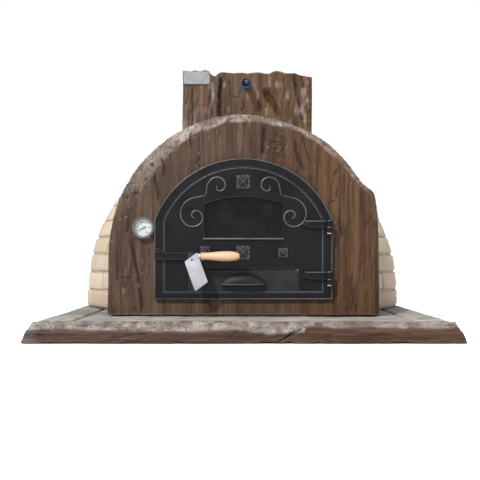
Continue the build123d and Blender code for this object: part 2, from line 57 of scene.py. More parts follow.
# ---------------------------------------------------------------- numbers for rough surfaces
def lattice(i, j, k, seed):
    """A repeatable value from -1 to 1 for each whole-numbered lattice point."""
    n = (i * 73856093) ^ (j * 19349663) ^ (k * 83492791) ^ (seed * 40503)
    n = n & 0x7FFFFFFF
    n = ((n ^ (n >> 13)) * 1274126177) & 0x7FFFFFFF
    n = ((n ^ (n >> 15)) * 668265263) & 0x7FFFFFFF
    return ((n ^ (n >> 12)) & 0xFFFF) / 32767.5 - 1.0


def noise(p, scale, seed=0):
    """Smooth noise from -1 to 1 at points p, with scale cells to the metre on each axis."""
    q = p * np.asarray(scale, float)
    base = np.floor(q).astype(np.int64)
    f = q - base
    f = f * f * (3 - 2 * f)
    total = np.zeros(len(p))
    for dx in (0, 1):
        for dy in (0, 1):
            for dz in (0, 1):
                corner = lattice(base[:, 0] + dx, base[:, 1] + dy, base[:, 2] + dz, seed)
                weight = (f[:, 0] if dx else 1 - f[:, 0])
                weight = weight * (f[:, 1] if dy else 1 - f[:, 1])
                weight = weight * (f[:, 2] if dz else 1 - f[:, 2])
                total += corner * weight
    return total


def layered(p, scale, octaves=3, seed=0):
    """Noise summed over octaves."""
    scale = np.asarray(scale, float)
    total = np.zeros(len(p))
    size = 1.0
    for octave in range(octaves):
        total += size * noise(p, scale * 2 ** octave, seed + 17 * octave)
        size *= 0.5
    return total


def near_path(u, v, path):
    """Distance from points (u, v) to a bent line, and how far along it they are, 0 to 1."""
    best = np.full(len(u), 1e9)
    along = np.zeros(len(u))
    count = len(path) - 1
    for i in range(count):
        (u0, v0), (u1, v1) = path[i], path[i + 1]
        du, dv = u1 - u0, v1 - v0
        t = np.clip(((u - u0) * du + (v - v0) * dv) / (du * du + dv * dv), 0, 1)
        d = np.hypot(u - u0 - t * du, v - v0 - t * dv)
        closer = d < best
        best[closer] = d[closer]
        along[closer] = (i + t[closer]) / count
    return best, along


def grain(p, axis, coarse, fine, seed):
    """Long wood-like ridges along an axis: height and how deep in a fissure each point is."""
    stretch = np.ones(3) * coarse
    stretch[axis] = coarse * 0.07
    sway = p.copy()
    for other in range(3):
        if other != axis:
            sway[:, other] += 0.012 * noise(p, 5.0, seed + other)
    ridges = layered(sway, stretch, 3, seed)
    thin = np.ones(3) * fine
    thin[axis] = fine * 0.05
    lines = 1 - np.abs(noise(sway, thin, seed + 5))
    split = np.clip((lines - 0.86) / 0.14, 0, 1)
    present = np.clip(noise(p, 9.0, seed + 9) + 0.45, 0, 1)
    fissure = split * present
    return ridges, fissure


# ---------------------------------------------------------------- pieces
def link(obj):
    bpy.context.scene.collection.objects.link(obj)
    return obj


def finish_piece(obj, body, material, smooth=True):
    """Material, shading, body and slot of a piece."""
    obj.data.materials.clear()
    obj.data.materials.append(material)
    for polygon in obj.data.polygons:
        polygon.use_smooth = smooth
    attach(obj, body)
    return obj


def mesh_object(name, verts, faces):
    mesh = bpy.data.meshes.new(name)
    mesh.from_pydata([tuple(v) for v in verts], [], [tuple(f) for f in faces])
    mesh.update()
    return link(bpy.data.objects.new(name, mesh))


def grid_edge(wide, tall):
    """The corner numbers round the edge of a net of wide x tall points, counted row by row."""
    edge = list(range(wide)) + [wide * r + wide - 1 for r in range(1, tall)]
    edge += [wide * (tall - 1) + c for c in range(wide - 2, -1, -1)]
    return edge + [wide * r for r in range(tall - 2, 0, -1)]


def grid_faces(wide, tall, start=0):
    """The squares of such a net, with its first point numbered start."""
    corners = [start + r * wide + c for r in range(tall - 1) for c in range(wide - 1)]
    return [(q, q + 1, q + wide + 1, q + wide) for q in corners]


def applied(obj):
    """Replaces an object's data by its evaluated mesh, so that no modifier is left."""
    bpy.context.view_layer.update()
    graph = bpy.context.evaluated_depsgraph_get()
    mesh = bpy.data.meshes.new_from_object(obj.evaluated_get(graph))
    name = obj.name
    old = obj.data
    if obj.type == "MESH":
        obj.modifiers.clear()
        obj.data = mesh
        bpy.data.meshes.remove(old)
        return obj
    bpy.data.objects.remove(obj)
    mesh.name = name
    return link(bpy.data.objects.new(name, mesh))


def welded(mesh, reach, recalculate):
    """Merges a mesh's doubled corners within reach, and turns its faces outwards if asked."""
    bm = bmesh.new()
    bm.from_mesh(mesh)
    if reach:
        bmesh.ops.remove_doubles(bm, verts=bm.verts, dist=reach)
    if recalculate:
        bmesh.ops.recalc_face_normals(bm, faces=bm.faces)
    bm.to_mesh(mesh)
    bm.free()


def remeshed(node, name, voxel):
    """A CAD node's shape as an even net of small faces, ready to be carved."""
    mesh = nodes[node].data.copy()
    mesh.name = name
    obj = link(bpy.data.objects.new(name, mesh))
    welded(mesh, 1e-5, False)
    modifier = obj.modifiers.new("remesh", "REMESH")
    modifier.mode = "VOXEL"
    modifier.voxel_size = voxel
    return applied(obj)


def points_of(obj):
    mesh = obj.data
    co = np.zeros(len(mesh.vertices) * 3)
    no = np.zeros(len(mesh.vertices) * 3)
    mesh.vertices.foreach_get("co", co)
    mesh.vertices.foreach_get("normal", no)
    return co.reshape(-1, 3), no.reshape(-1, 3)


def set_points(obj, co):
    obj.data.vertices.foreach_set("co", np.asarray(co, np.float32).ravel())
    obj.data.update()


def store(obj, name, values):
    """Keeps one number for each vertex, for the material to read."""
    layer = obj.data.attributes.new(name, "FLOAT", "POINT")
    layer.data.foreach_set("value", np.asarray(values, np.float32))


def curve_tube(name, points, radius, cyclic=False, kind="NURBS", resolution=6, radii=None):
    """A round bar along a smooth curve, as a mesh."""
    curve = bpy.data.curves.new(name, "CURVE")
    curve.dimensions = "3D"
    curve.bevel_depth = radius
    curve.bevel_resolution = 4
    curve.use_fill_caps = True
    spline = curve.splines.new(kind)
    spline.points.add(len(points) - 1)
    for i, (point, co) in enumerate(zip(spline.points, points)):
        point.co = (*co, 1.0)
        if radii is not None:
            point.radius = radii[i]
    spline.use_cyclic_u = cyclic
    if kind == "NURBS":
        spline.order_u = 4
        spline.use_endpoint_u = not cyclic
        spline.resolution_u = resolution
    return applied(link(bpy.data.objects.new(name, curve)))


def joined(name, objects):
    """Several mesh objects as one."""
    bm = bmesh.new()
    for obj in objects:
        bm.from_mesh(obj.data)
    mesh = bpy.data.meshes.new(name)
    bm.to_mesh(mesh)
    bm.free()
    for obj in objects:
        bpy.data.objects.remove(obj)
    return link(bpy.data.objects.new(name, mesh))


def lathe(name, profile, centre, axis, segments=64):
    """A turned piece: (distance along axis, radius) pairs spun about an axis through centre."""
    axis = Vector(axis)
    side = axis.orthogonal().normalized()
    up = axis.cross(side)
    verts, faces = [], []
    for distance, radius in profile:
        for i in range(segments):
            a = 2 * pi * i / segments
            verts.append(Vector(centre) + axis * distance + (side * cos(a) + up * sin(a)) * radius)
    rows = len(profile)
    for r in range(rows - 1):
        for i in range(segments):
            j = (i + 1) % segments
            a, b = r * segments + i, r * segments + j
            faces.append((a, b, b + segments, a + segments))
    faces.append(tuple(reversed(range(segments))))
    faces.append(tuple(range((rows - 1) * segments, rows * segments)))
    obj = mesh_object(name, verts, faces)
    welded(obj.data, 0, True)
    return obj


# ---------------------------------------------------------------- material kit
class Paint:
    """A node material that is built up step by step."""

    def __init__(self, name, roughness=0.6, metallic=0.0, specular=0.5):
        self.material = bpy.data.materials.new(name)
        self.material.use_nodes = True
        self.tree = self.material.node_tree
        self.shader = self.tree.nodes["Principled BSDF"]
        self.shader.inputs["Roughness"].default_value = roughness
        self.shader.inputs["Metallic"].default_value = metallic
        self.shader.inputs["Specular IOR Level"].default_value = specular
        self.place = self.add("ShaderNodeTexCoord").outputs["Object"]
        self.height = None

    def add(self, kind, **values):
        item = self.tree.nodes.new(kind)
        for key, value in values.items():
            if hasattr(item, key):
                setattr(item, key, value)
            else:
                socket = item.inputs[key.replace("_", " ")]
                self.feed(socket, value)
        return item

    def feed(self, socket, value):
        if isinstance(value, bpy.types.NodeSocket):
            self.tree.links.new(value, socket)
        else:
            socket.default_value = value

    def noise(self, scale, detail=6.0, rough=0.6, stretch=None, distortion=0.0):
        """Noise on the object's own coordinates, 0 to 1, drawn out along an axis if asked."""
        place = self.place
        if stretch is not None:
            mapping = self.add("ShaderNodeMapping")
            self.feed(mapping.inputs["Vector"], place)
            mapping.inputs["Scale"].default_value = stretch
            place = mapping.outputs["Vector"]
        item = self.add("ShaderNodeTexNoise", Vector=place, Scale=scale, Detail=detail,
                        Roughness=rough, Distortion=distortion)
        return item.outputs["Fac"]

    def attribute(self, name):
        return self.add("ShaderNodeAttribute", attribute_name=name).outputs["Fac"]

    def math(self, operation, a, b=0.0, clamp=False):
        item = self.add("ShaderNodeMath", operation=operation, use_clamp=clamp)
        self.feed(item.inputs[0], a)
        self.feed(item.inputs[1], b)
        return item.outputs[0]

    def step(self, value, low, high, out_low=0.0, out_high=1.0):
        item = self.add("ShaderNodeMapRange", interpolation_type="SMOOTHSTEP")
        self.feed(item.inputs["Value"], value)
        limits = {"From Min": low, "From Max": high, "To Min": out_low, "To Max": out_high}
        for key, number in limits.items():
            item.inputs[key].default_value = number
        return item.outputs["Result"]

    def mix(self, factor, a, b, blend="MIX"):
        item = self.add("ShaderNodeMix", data_type="RGBA", blend_type=blend)
        self.feed(item.inputs[0], factor)
        self.feed(item.inputs[6], a if isinstance(a, bpy.types.NodeSocket) else (*a, 1.0))
        self.feed(item.inputs[7], b if isinstance(b, bpy.types.NodeSocket) else (*b, 1.0))
        return item.outputs[2]

    def worn(self):
        """1 at outside edges and corners, 0 on flats."""
        soft = self.add("ShaderNodeBevel", samples=6)
        soft.inputs["Radius"].default_value = 0.002
        flat = self.add("ShaderNodeNewGeometry").outputs["Normal"]
        dot = self.add("ShaderNodeVectorMath", operation="DOT_PRODUCT")
        self.feed(dot.inputs[0], soft.outputs["Normal"])
        self.feed(dot.inputs[1], flat)
        return self.step(dot.outputs["Value"], 0.995, 0.93)

    def colour(self, value):
        self.feed(self.shader.inputs["Base Color"], value)

    def rough(self, value):
        self.feed(self.shader.inputs["Roughness"], value)

    def bump(self, value, strength, distance):
        item = self.add("ShaderNodeBump")
        item.inputs["Strength"].default_value = strength
        item.inputs["Distance"].default_value = distance
        self.feed(item.inputs["Height"], value)
        if self.height is not None:
            self.feed(item.inputs["Normal"], self.height)
        self.height = item.outputs["Normal"]
        self.feed(self.shader.inputs["Normal"], self.height)


def carved_paint(name, cool, warm, axis, x_cool, x_warm, dusty=(0.255, 0.215, 0.195)):
    """Wood-effect stained mortar: drawn-out grain, dark fissures, pale rubbed high spots, and the same
    pale colour as painted light on upward faces.
    """
    paint = Paint(name, 0.62, specular=0.22)
    stretch = [1.0, 1.0, 1.0]
    stretch[axis] = 0.06
    fine = paint.noise(260.0, 5.0, 0.65, stretch, 0.3)
    broad = paint.noise(42.0, 4.0, 0.6, stretch, 0.6)
    patch = paint.noise(7.0, 5.0, 0.55)
    split = paint.add("ShaderNodeSeparateXYZ")
    paint.feed(split.inputs[0], paint.place)
    side = paint.step(split.outputs[0], x_cool, x_warm)
    base = paint.mix(side, cool, warm)
    dark = paint.mix(1.0, base, (0.40, 0.34, 0.31), "MULTIPLY")
    pale = paint.mix(1.0, base, (1.80, 1.70, 1.55), "MULTIPLY")
    shade = paint.mix(paint.step(broad, 0.35, 0.68), dark, base)
    shade = paint.mix(paint.step(fine, 0.52, 0.8, 0.0, 0.75), shade, pale)
    shade = paint.mix(paint.step(patch, 0.45, 0.75, 0.0, 0.5), shade, dark)
    shade = paint.mix(paint.attribute("fissure"), shade, (0.012, 0.007, 0.004))
    dust = paint.noise(120.0, 6.0, 0.7)
    # pale colour where the attribute is set: real dust and wear, and painted light on faces that point up
    rubbed_and_top_light = paint.math("MULTIPLY", paint.attribute("rubbed_and_top_light"), paint.step(dust, 0.28, 0.55))
    shade = paint.mix(rubbed_and_top_light, shade, dusty)
    paint.colour(shade)
    paint.rough(paint.step(fine, 0.3, 0.8, 0.78, 0.5))
    paint.bump(fine, 0.5, 0.0012)
    paint.bump(dust, 0.35, 0.0008)
    return paint.material


def stone_paint(name, low, high, scale=55.0, roughness=0.85):
    """Cast concrete, refractory or tile: two close tones, pits and grit."""
    paint = Paint(name, roughness, specular=0.15)
    cloud = paint.noise(scale * 0.16, 5.0, 0.6)
    grit = paint.noise(scale * 9.0, 3.0, 0.7)
    mid = paint.noise(scale, 6.0, 0.65)
    shade = paint.mix(paint.step(cloud, 0.35, 0.65), low, high)
    shade = paint.mix(paint.step(mid, 0.55, 0.78, 0.0, 0.45), shade, tuple(0.55 * c for c in low))
    sparkle = tuple(min(1, 1.35 * c) for c in high)
    shade = paint.mix(paint.step(grit, 0.6, 0.75, 0.0, 0.35), shade, sparkle)
    shade = paint.mix(paint.attribute("rubbed_and_top_light"), shade, (0.31, 0.275, 0.25))
    shade = paint.mix(paint.attribute("fissure"), shade, (0.02, 0.016, 0.013))
    paint.colour(shade)
    paint.bump(mid, 0.5, 0.002)
    paint.bump(grit, 0.3, 0.0006)
    return paint.material


def brick_paint():
    """Hand-made firebrick: each brick has its own tone, with speckle and sandy relief."""
    paint = Paint("firebrick", 0.85, specular=0.12)
    tone = paint.attribute("tone")
    cloud = paint.noise(14.0, 5.0, 0.6)
    speck = paint.noise(420.0, 2.0, 0.6)
    shade = paint.mix(tone, (0.290, 0.228, 0.172), (0.355, 0.305, 0.25))
    shade = paint.mix(paint.step(cloud, 0.4, 0.7, 0.0, 0.5), shade, (0.29, 0.22, 0.155))
    shade = paint.mix(paint.step(speck, 0.62, 0.72, 0.0, 0.5), shade, (0.33, 0.22, 0.15))
    paint.colour(shade)
    paint.bump(speck, 0.3, 0.0005)
    paint.bump(paint.noise(90.0, 5.0, 0.65), 0.5, 0.0015)
    return paint.material


def iron_paint(name, base, wear=0.6, roughness=0.42, specular=0.16):
    """Satin black cast iron: sand-cast grain, dusty patches and bright worn edges."""
    paint = Paint(name, roughness, specular=specular)
    cast = paint.noise(700.0, 3.0, 0.6)
    cloud = paint.noise(16.0, 6.0, 0.65)
    dust = paint.noise(90.0, 6.0, 0.75)
    shade = paint.mix(paint.step(cloud, 0.35, 0.7), base, tuple(1.9 * c for c in base))
    shade = paint.mix(paint.step(dust, 0.62, 0.8, 0.0, 0.3), shade, (0.05, 0.05, 0.05))
    edge = paint.math("MULTIPLY", paint.worn(), paint.step(dust, 0.3, 0.55, 0.25, 1.0))
    edge = paint.math("MULTIPLY", edge, wear, True)
    shade = paint.mix(edge, shade, (0.10, 0.105, 0.11))
    paint.colour(shade)
    paint.rough(paint.step(cloud, 0.3, 0.7, roughness - 0.07, roughness + 0.14))
    paint.bump(cast, 0.22, 0.0004)
    paint.bump(cloud, 0.25, 0.0015)
    return paint.material


def metal_paint(name, base, roughness=0.3, along=(1.0, 1.0, 1.0)):
    """Plain or brushed metal with faint handling marks."""
    paint = Paint(name, roughness, 1.0)
    brush = paint.noise(900.0, 3.0, 0.6, along)
    smear = paint.noise(30.0, 5.0, 0.6)
    shade = paint.mix(paint.step(smear, 0.4, 0.7, 0.0, 0.6), base, tuple(0.62 * c for c in base))
    paint.colour(shade)
    paint.rough(paint.step(brush, 0.3, 0.7, max(0.08, roughness - 0.08), roughness + 0.12))
    paint.bump(brush, 0.15, 0.0002)
    return paint.material


# ---------------------------------------------------------------- materials
facade_wood = carved_paint("facade_wood", (0.072, 0.044, 0.027), (0.078, 0.038, 0.015), 2, -0.05, 0.28)
block_wood = carved_paint("block_wood", (0.104, 0.063, 0.044), (0.098, 0.052, 0.024), 2, -0.15, 0.12)
log_wood = carved_paint("log_wood", (0.066, 0.040, 0.028), (0.066, 0.033, 0.020), 0, -0.3, 0.3,
                        (0.235, 0.212, 0.194))
concrete = stone_paint("concrete", (0.135, 0.128, 0.120), (0.205, 0.200, 0.190), 60.0)
firebrick = brick_paint()
mortar = stone_paint("mortar", (0.22, 0.17, 0.125), (0.29, 0.235, 0.175), 80.0, 0.9)
refractory = stone_paint("refractory", (0.40, 0.28, 0.19), (0.55, 0.42, 0.30), 70.0)
fire_tile = stone_paint("fire_tile", (0.44, 0.33, 0.22), (0.58, 0.46, 0.34), 90.0)
board = stone_paint("insulating_board", (0.62, 0.60, 0.56), (0.72, 0.70, 0.66), 90.0)
iron = iron_paint("cast_iron", (0.0016, 0.0018, 0.0028))
# a brighter copy of the cast iron for raised lines and edges: rubbed metal, and in part a painted
# highlight
rubbed_and_highlight_iron = iron_paint("rubbed_and_highlight_cast_iron", (0.030, 0.032, 0.036), 0.5, 0.34, 0.7)
rosette_iron = iron_paint("rosette_iron", (0.009, 0.0095, 0.0105), 1.0, 0.36)
flap_iron = iron_paint("flap_cast_iron", (0.0078, 0.0084, 0.0098), 0.7, 0.46)
dark_steel = iron_paint("blued_steel", (0.018, 0.024, 0.034), 0.9, 0.34)
steel = metal_paint("plain_steel", (0.50, 0.50, 0.50), 0.38)
bright_steel = metal_paint("bright_steel", (0.30, 0.29, 0.28), 0.35)
brass = metal_paint("brass", (0.62, 0.44, 0.18), 0.32)
satin_plate = metal_paint("satin_plate", (0.24, 0.25, 0.25), 0.6, (1.0, 1.0, 30.0))


def beech_paint():
    """Oiled beech: fine flecks and slow bands along the grip, darker towards the end."""
    paint = Paint("beech", 0.45)
    along = (0.08, 1.0, 1.0)
    bands = paint.noise(120.0, 4.0, 0.55, along, 0.4)
    flecks = paint.noise(900.0, 2.0, 0.5, (0.2, 1.0, 1.0))
    shade = paint.mix(bands, (0.50, 0.325, 0.215), (0.40, 0.235, 0.145))
    shade = paint.mix(paint.step(flecks, 0.6, 0.72, 0.0, 0.5), shade, (0.38, 0.20, 0.10))
    darker_patch = paint.noise(40.0, 5.0, 0.6)
    shade = paint.mix(paint.step(darker_patch, 0.5, 0.8, 0.0, 0.4), shade, (0.40, 0.22, 0.12))
    paint.colour(shade)
    paint.bump(flecks, 0.2, 0.0003)
    return paint.material


def card_paint():
    """Matte grey-white card with faint fibres and soft creases."""
    paint = Paint("card", 0.8, specular=0.15)
    fibres = paint.noise(600.0, 4.0, 0.7)
    cloud = paint.noise(40.0, 4.0, 0.5)
    shade = paint.mix(paint.step(cloud, 0.3, 0.7), (0.25, 0.25, 0.285), (0.31, 0.31, 0.345))
    shade = paint.mix(paint.step(fibres, 0.55, 0.8, 0.0, 0.3), shade, (0.20, 0.20, 0.235))
    paint.colour(shade)
    paint.bump(fibres, 0.15, 0.0002)
    return paint.material


def glass_paint(name, tint, alpha, roughness):
    """Glass with a faint film of soot or dust in its roughness."""
    paint = Paint(name, roughness, specular=0.18)
    film = paint.noise(25.0, 6.0, 0.7)
    filmed = tuple(min(1.0, 1.5 * c + 0.004) for c in tint)
    paint.colour(paint.mix(paint.step(film, 0.3, 0.8), tint, filmed))
    paint.rough(paint.step(film, 0.3, 0.8, roughness, roughness + 0.18))
    paint.shader.inputs["Alpha"].default_value = alpha
    paint.shader.inputs["IOR"].default_value = 1.5
    return paint.material


def flat_paint(name, base, roughness):
    """Printed or sprayed paint with a slight mottle."""
    paint = Paint(name, roughness)
    mottle = paint.noise(500.0, 4.0, 0.6)
    paint.colour(paint.mix(paint.step(mottle, 0.4, 0.7), base, tuple(0.88 * c for c in base)))
    paint.bump(mottle, 0.08, 0.0001)
    return paint.material


def rope_paint():
    """Braided glass rope: crossed fine waves of grey yarn."""
    paint = Paint("glass_rope", 0.9)
    weave = paint.noise(380.0, 2.0, 0.4, (1.0, 0.3, 1.0), 1.2)
    paint.colour(paint.mix(paint.step(weave, 0.4, 0.6), (0.05, 0.05, 0.05), (0.20, 0.19, 0.18)))
    paint.bump(weave, 0.9, 0.001)
    return paint.material


beech = beech_paint()
card = card_paint()
smoked_glass = glass_paint("smoked_glass", (0.0016, 0.0011, 0.0014), 0.98, 0.16)
clear_glass = glass_paint("gauge_glass", (0.9, 0.93, 0.94), 0.05, 0.06)
dial_white = flat_paint("dial_white", (0.36, 0.40, 0.40), 0.6)
ink = flat_paint("ink", (0.02, 0.02, 0.025), 0.5)
rope = rope_paint()

paints = {
    iron: ("door_frame", "door_leaf", "latch_keeper", "window_clamp", "latch_lever", "damper_plate"),
    flap_iron: ("air_flap", "cup_pull"),
    rubbed_and_highlight_iron: ("gauge_bezel",),
    dark_steel: ("damper_shaft", "damper_front_bush", "latch_pivot_bolt", "latch_pivot_nut",
                 "latch_washer"),
    steel: ("flue_liner", "flue_collar", "frame_anchors", "hinge_pins", "flap_pins", "gauge_stem",
            "window_screws", "latch_ferrule"),
    bright_steel: ("gauge_case",),
    brass: ("damper_back_bush", "gauge_spindle"),
    satin_plate: ("nameplate", "nameplate_rivets"),
    refractory: ("refractory_dome", "mouth_vault"),
    fire_tile: ("hearth_tiles", "mouth_tile"),
    board: ("hearth_insulation", "insulation_blanket"),
    rope: ("door_seal", "window_seal"),
    smoked_glass: ("window_glass",),
    clear_glass: ("gauge_glass",),
    dial_white: ("gauge_dial",),
    ink: ("gauge_pointer",),
}
for material, names in paints.items():
    for name in names:
        slots = nodes[name].data.materials
        slots.clear()
        slots.append(material)


# ---------------------------------------------------------------- carved mortar
def carve(obj, axis, coarse, fine, relief, cracks, front, seed, plane=(0, 2), lumps=4.0):
    """Pushes a grain, lumps, fissures and named cracks into a piece's surface."""
    co, normal = points_of(obj)
    ridges, fissure = grain(co, axis, coarse, fine, seed)
    broad = noise(co, 7.0, seed + 3)
    facing = np.clip(normal @ np.asarray(front, float) * 1.6 - 0.3, 0, 1)
    depth = -relief * MM * (0.45 * ridges) + lumps * MM * 0.5 * (broad - 0.6)
    depth -= relief * MM * 1.3 * fissure * (0.35 + 0.65 * facing)
    hollow = 0.75 * fissure
    u = co[:, plane[0]] + 2.2 * MM * noise(co, 45.0, seed + 21)
    v = co[:, plane[1]]
    for path, width, sink in cracks:
        distance, along = near_path(u, v, path)
        ends = np.clip(4 * np.minimum(along, 1 - along) + 0.25, 0, 1)
        cut = np.exp(-(distance / width) ** 2) * ends * facing
        depth -= sink * cut
        hollow = np.maximum(hollow, np.clip(1.25 * cut, 0, 1))
    return co, normal, depth, np.clip(hollow, 0, 1), facing


def world_cracks(cracks):
    """Cracks as (points across and over the slab, width, depth) in millimetres, in the frame's metres."""
    return [([(x * MM, slab_top + z * MM) for x, z in points], width * MM, depth * MM)
            for points, width, depth in cracks]


def seated(co, node):
    """Carved points drawn out again to the full size of the CAD node."""
    lo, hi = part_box(node)
    low, high = co.min(axis=0), co.max(axis=0)
    return np.array(lo) + (co - low) * (np.array(hi) - np.array(lo)) / (high - low)


def popcorn(co, seed):
    """Small hard bumps, as in dabbed mortar."""
    return np.abs(noise(co, 150.0, seed)) + 0.5 * np.abs(noise(co, 310.0, seed + 1))


def make_facade():
    """The arch over the door: upright grain, fanned at the right, with a rough knot."""
    obj = remeshed("facade", "facade_carved", 0.0034)
    cracks = world_cracks([
        ([(-325, 223), (-315, 183), (-307, 140), (-299, 77), (-294, 46), (-290, 2)], 3.0, 8),
        ([(-150, 534), (-151, 510), (-148, 484)], 2.8, 7),
        ([(-128, 473), (-125, 453), (-136, 440)], 2.0, 4),
        ([(-234, 457), (-229, 438), (-226, 400)], 2.4, 6),
        ([(-258, 412), (-248, 381), (-241, 328)], 2.8, 7),
        ([(-334, 306), (-330, 262), (-338, 236)], 2.4, 5),
        ([(61, 556), (58, 500), (57, 462)], 5.5, 9),
        ([(148, 517), (152, 485), (161, 453), (178, 418)], 3.0, 7),
        ([(174, 520), (180, 478), (196, 440)], 2.0, 3),
        ([(20, 548), (22, 505), (19, 470)], 1.6, 4),
        ([(277, 277), (282, 250), (289, 224)], 3.0, 6),
        ([(300, 262), (297, 236), (302, 208)], 1.8, 4),
        ([(246, 322), (256, 331), (269, 333)], 1.8, 3),
        ([(272, 372), (268, 352), (276, 340)], 2.0, 4),
        ([(316, 120), (311, 88), (318, 52), (313, 8)], 1.8, 4),
        ([(-356, 109), (-322, 110)], 1.5, 3),
        ([(-364, 205), (-360, 150), (-366, 96)], 1.6, 3),
        ([(-270, 200), (-268, 150), (-273, 92)], 1.4, 3),
    ])
    co, normal, depth, hollow, facing = carve(obj, 2, 60.0, 150.0, 2.6, cracks, (0, -1, 0), 11)
    x, z = co[:, 0], co[:, 2] - slab_top
    knot = np.exp(-(((x - 0.102) / 0.036) ** 2 + ((z - 0.492) / 0.055) ** 2) ** 1.6)
    dabs = popcorn(co, 71)
    depth += knot * (0.0065 * (dabs - 0.55)) * facing
    hollow = np.maximum(hollow, knot * np.clip(1.2 - 3.2 * dabs, 0, 0.85) * facing)
    lower = np.exp(-(((x - 0.272) / 0.024) ** 2 + ((z - 0.098) / 0.04) ** 2))
    depth += lower * 0.003 * (dabs - 0.6) * facing
    inward, turn = from_outline(x, z)
    left = np.clip((turn - 1.7) / 0.6, 0, 1) * np.clip((3.05 - turn) / 0.5, 0, 1)
    right = np.clip((1.35 - turn) / 0.6, 0, 1)
    width = 0.024 + 0.026 * left - 0.006 * right + 0.006 * layered(co, 22.0, 3, 47)
    band = np.clip((width - inward) / 0.004 + 0.5, 0, 1) * (turn > 0.15) * (turn < 2.95)
    crease = np.exp(-((inward - width) / 0.0035) ** 2) * np.clip(0.35 + left + noise(co, 30.0, 49), 0, 1)
    crease *= (turn > 0.4) * (turn < 2.8)
    rough = popcorn(co, 31)
    broken = np.clip(0.4 + layered(co, 95.0, 2, 33), 0, 1)
    depth += band * 0.0030 * (rough - 0.6) - 0.0045 * crease * broken
    flakes = band * left * np.clip(layered(co, 75.0, 2, 35) - 0.55, 0, 1)
    depth -= 0.005 * flakes
    # painted shade: the carved crease under the rim is darkened, as the shadow it holds
    shadow = 0.9 * crease * np.clip(0.25 + noise(co, 120.0, 37), 0, 1)
    hollow = np.maximum(hollow, np.clip(shadow + 1.4 * flakes, 0, 1))
    patches = np.clip(0.72 + 0.55 * layered(co, 17.0, 3, 39), 0, 1)
    fade = np.clip((2.85 - turn) / 0.75, 0, 1) * np.clip((turn - 0.1) / 0.5, 0, 1)
    rim = band * (1 - 0.55 * right) * fade * patches
    chips = np.clip(noise(co, 110.0, 41) - 0.62, 0, 1) * 3.0 * (noise(co, 9.0, 43) > 0.2)
    # painted shadow: a dark leaning band beside the lower hinge, where its shadow falls, and the face
    # darkening towards its right edge
    lean = x - 0.292 + 0.12 * (z - 0.12)
    darker_patch = 0.55 * np.exp(-(lean / 0.020) ** 2 - ((z - 0.120) / 0.085) ** 2)
    darker_patch = np.maximum(darker_patch, 0.5 * np.clip((x - 0.335) / 0.05, 0, 1))
    darker_patch = darker_patch * np.clip(0.45 + layered(co * [1, 1, 0.4], 30.0, 3, 57), 0, 1) * facing
    hollow = np.maximum(hollow, darker_patch)
    keep = facade_clear(co)
    set_points(obj, seated(co + normal * np.clip(depth * keep, -0.03, 0.006)[:, None], "facade"))
    # the fissure attribute here also carries the painted shade of the rim crease and the painted shadow
    # beside the lower hinge
    store(obj, "fissure", hollow * keep)
    foot = np.exp(-(z / 0.005) ** 2) * (0.5 + 0.5 * noise(co, 40.0, 55))
    rim *= 1 - np.clip(1.5 * hollow, 0, 0.9)
    store(obj, "rubbed_and_top_light", np.clip(rim + 0.8 * chips * facing + 0.6 * foot, 0, 1))
    finish_piece(obj, "oven", facade_wood)
    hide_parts("facade")


def from_outline(x, z):
    """How far each facade point lies inside the front outline, and its angle about the door's centre."""
    high = z - ARC_UP * MM
    turn = np.arctan2(high, x)
    reach = np.hypot(x, high)
    cells = np.clip(((turn + pi) / (2 * pi) * 360).astype(int), 0, 359)
    edge = np.zeros(360)
    np.maximum.at(edge, cells, reach)
    smooth = (np.roll(edge, 1) + edge + np.roll(edge, -1)) / 3
    centres = (np.arange(360) + 0.5) / 360 * 2 * pi - pi
    return np.interp(turn, centres, smooth) - reach, turn


def facade_clear(co):
    """0 under the door frame and in the mouth, 1 away from them, so that fittings stay seated."""
    frame_lo, frame_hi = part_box("door_frame")
    inside = (np.abs(co[:, 0]) < frame_hi.x - 0.004) & (co[:, 2] < frame_hi.z - 0.004)
    inside &= co[:, 2] > frame_lo.z + 0.004
    arc = np.hypot(co[:, 0], co[:, 2] - slab_top - ARC_UP * MM)
    head = (co[:, 2] > slab_top + 0.28) & (arc > 0.270)
    keep = np.where(inside & ~head, 0.0, 1.0)
    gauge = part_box("gauge_bezel")
    centre = (gauge[0] + gauge[1]) / 2
    reach = np.hypot(co[:, 0] - centre.x, co[:, 2] - centre.z)
    keep *= np.clip((reach - 0.033) / 0.006, 0, 1)
    return keep


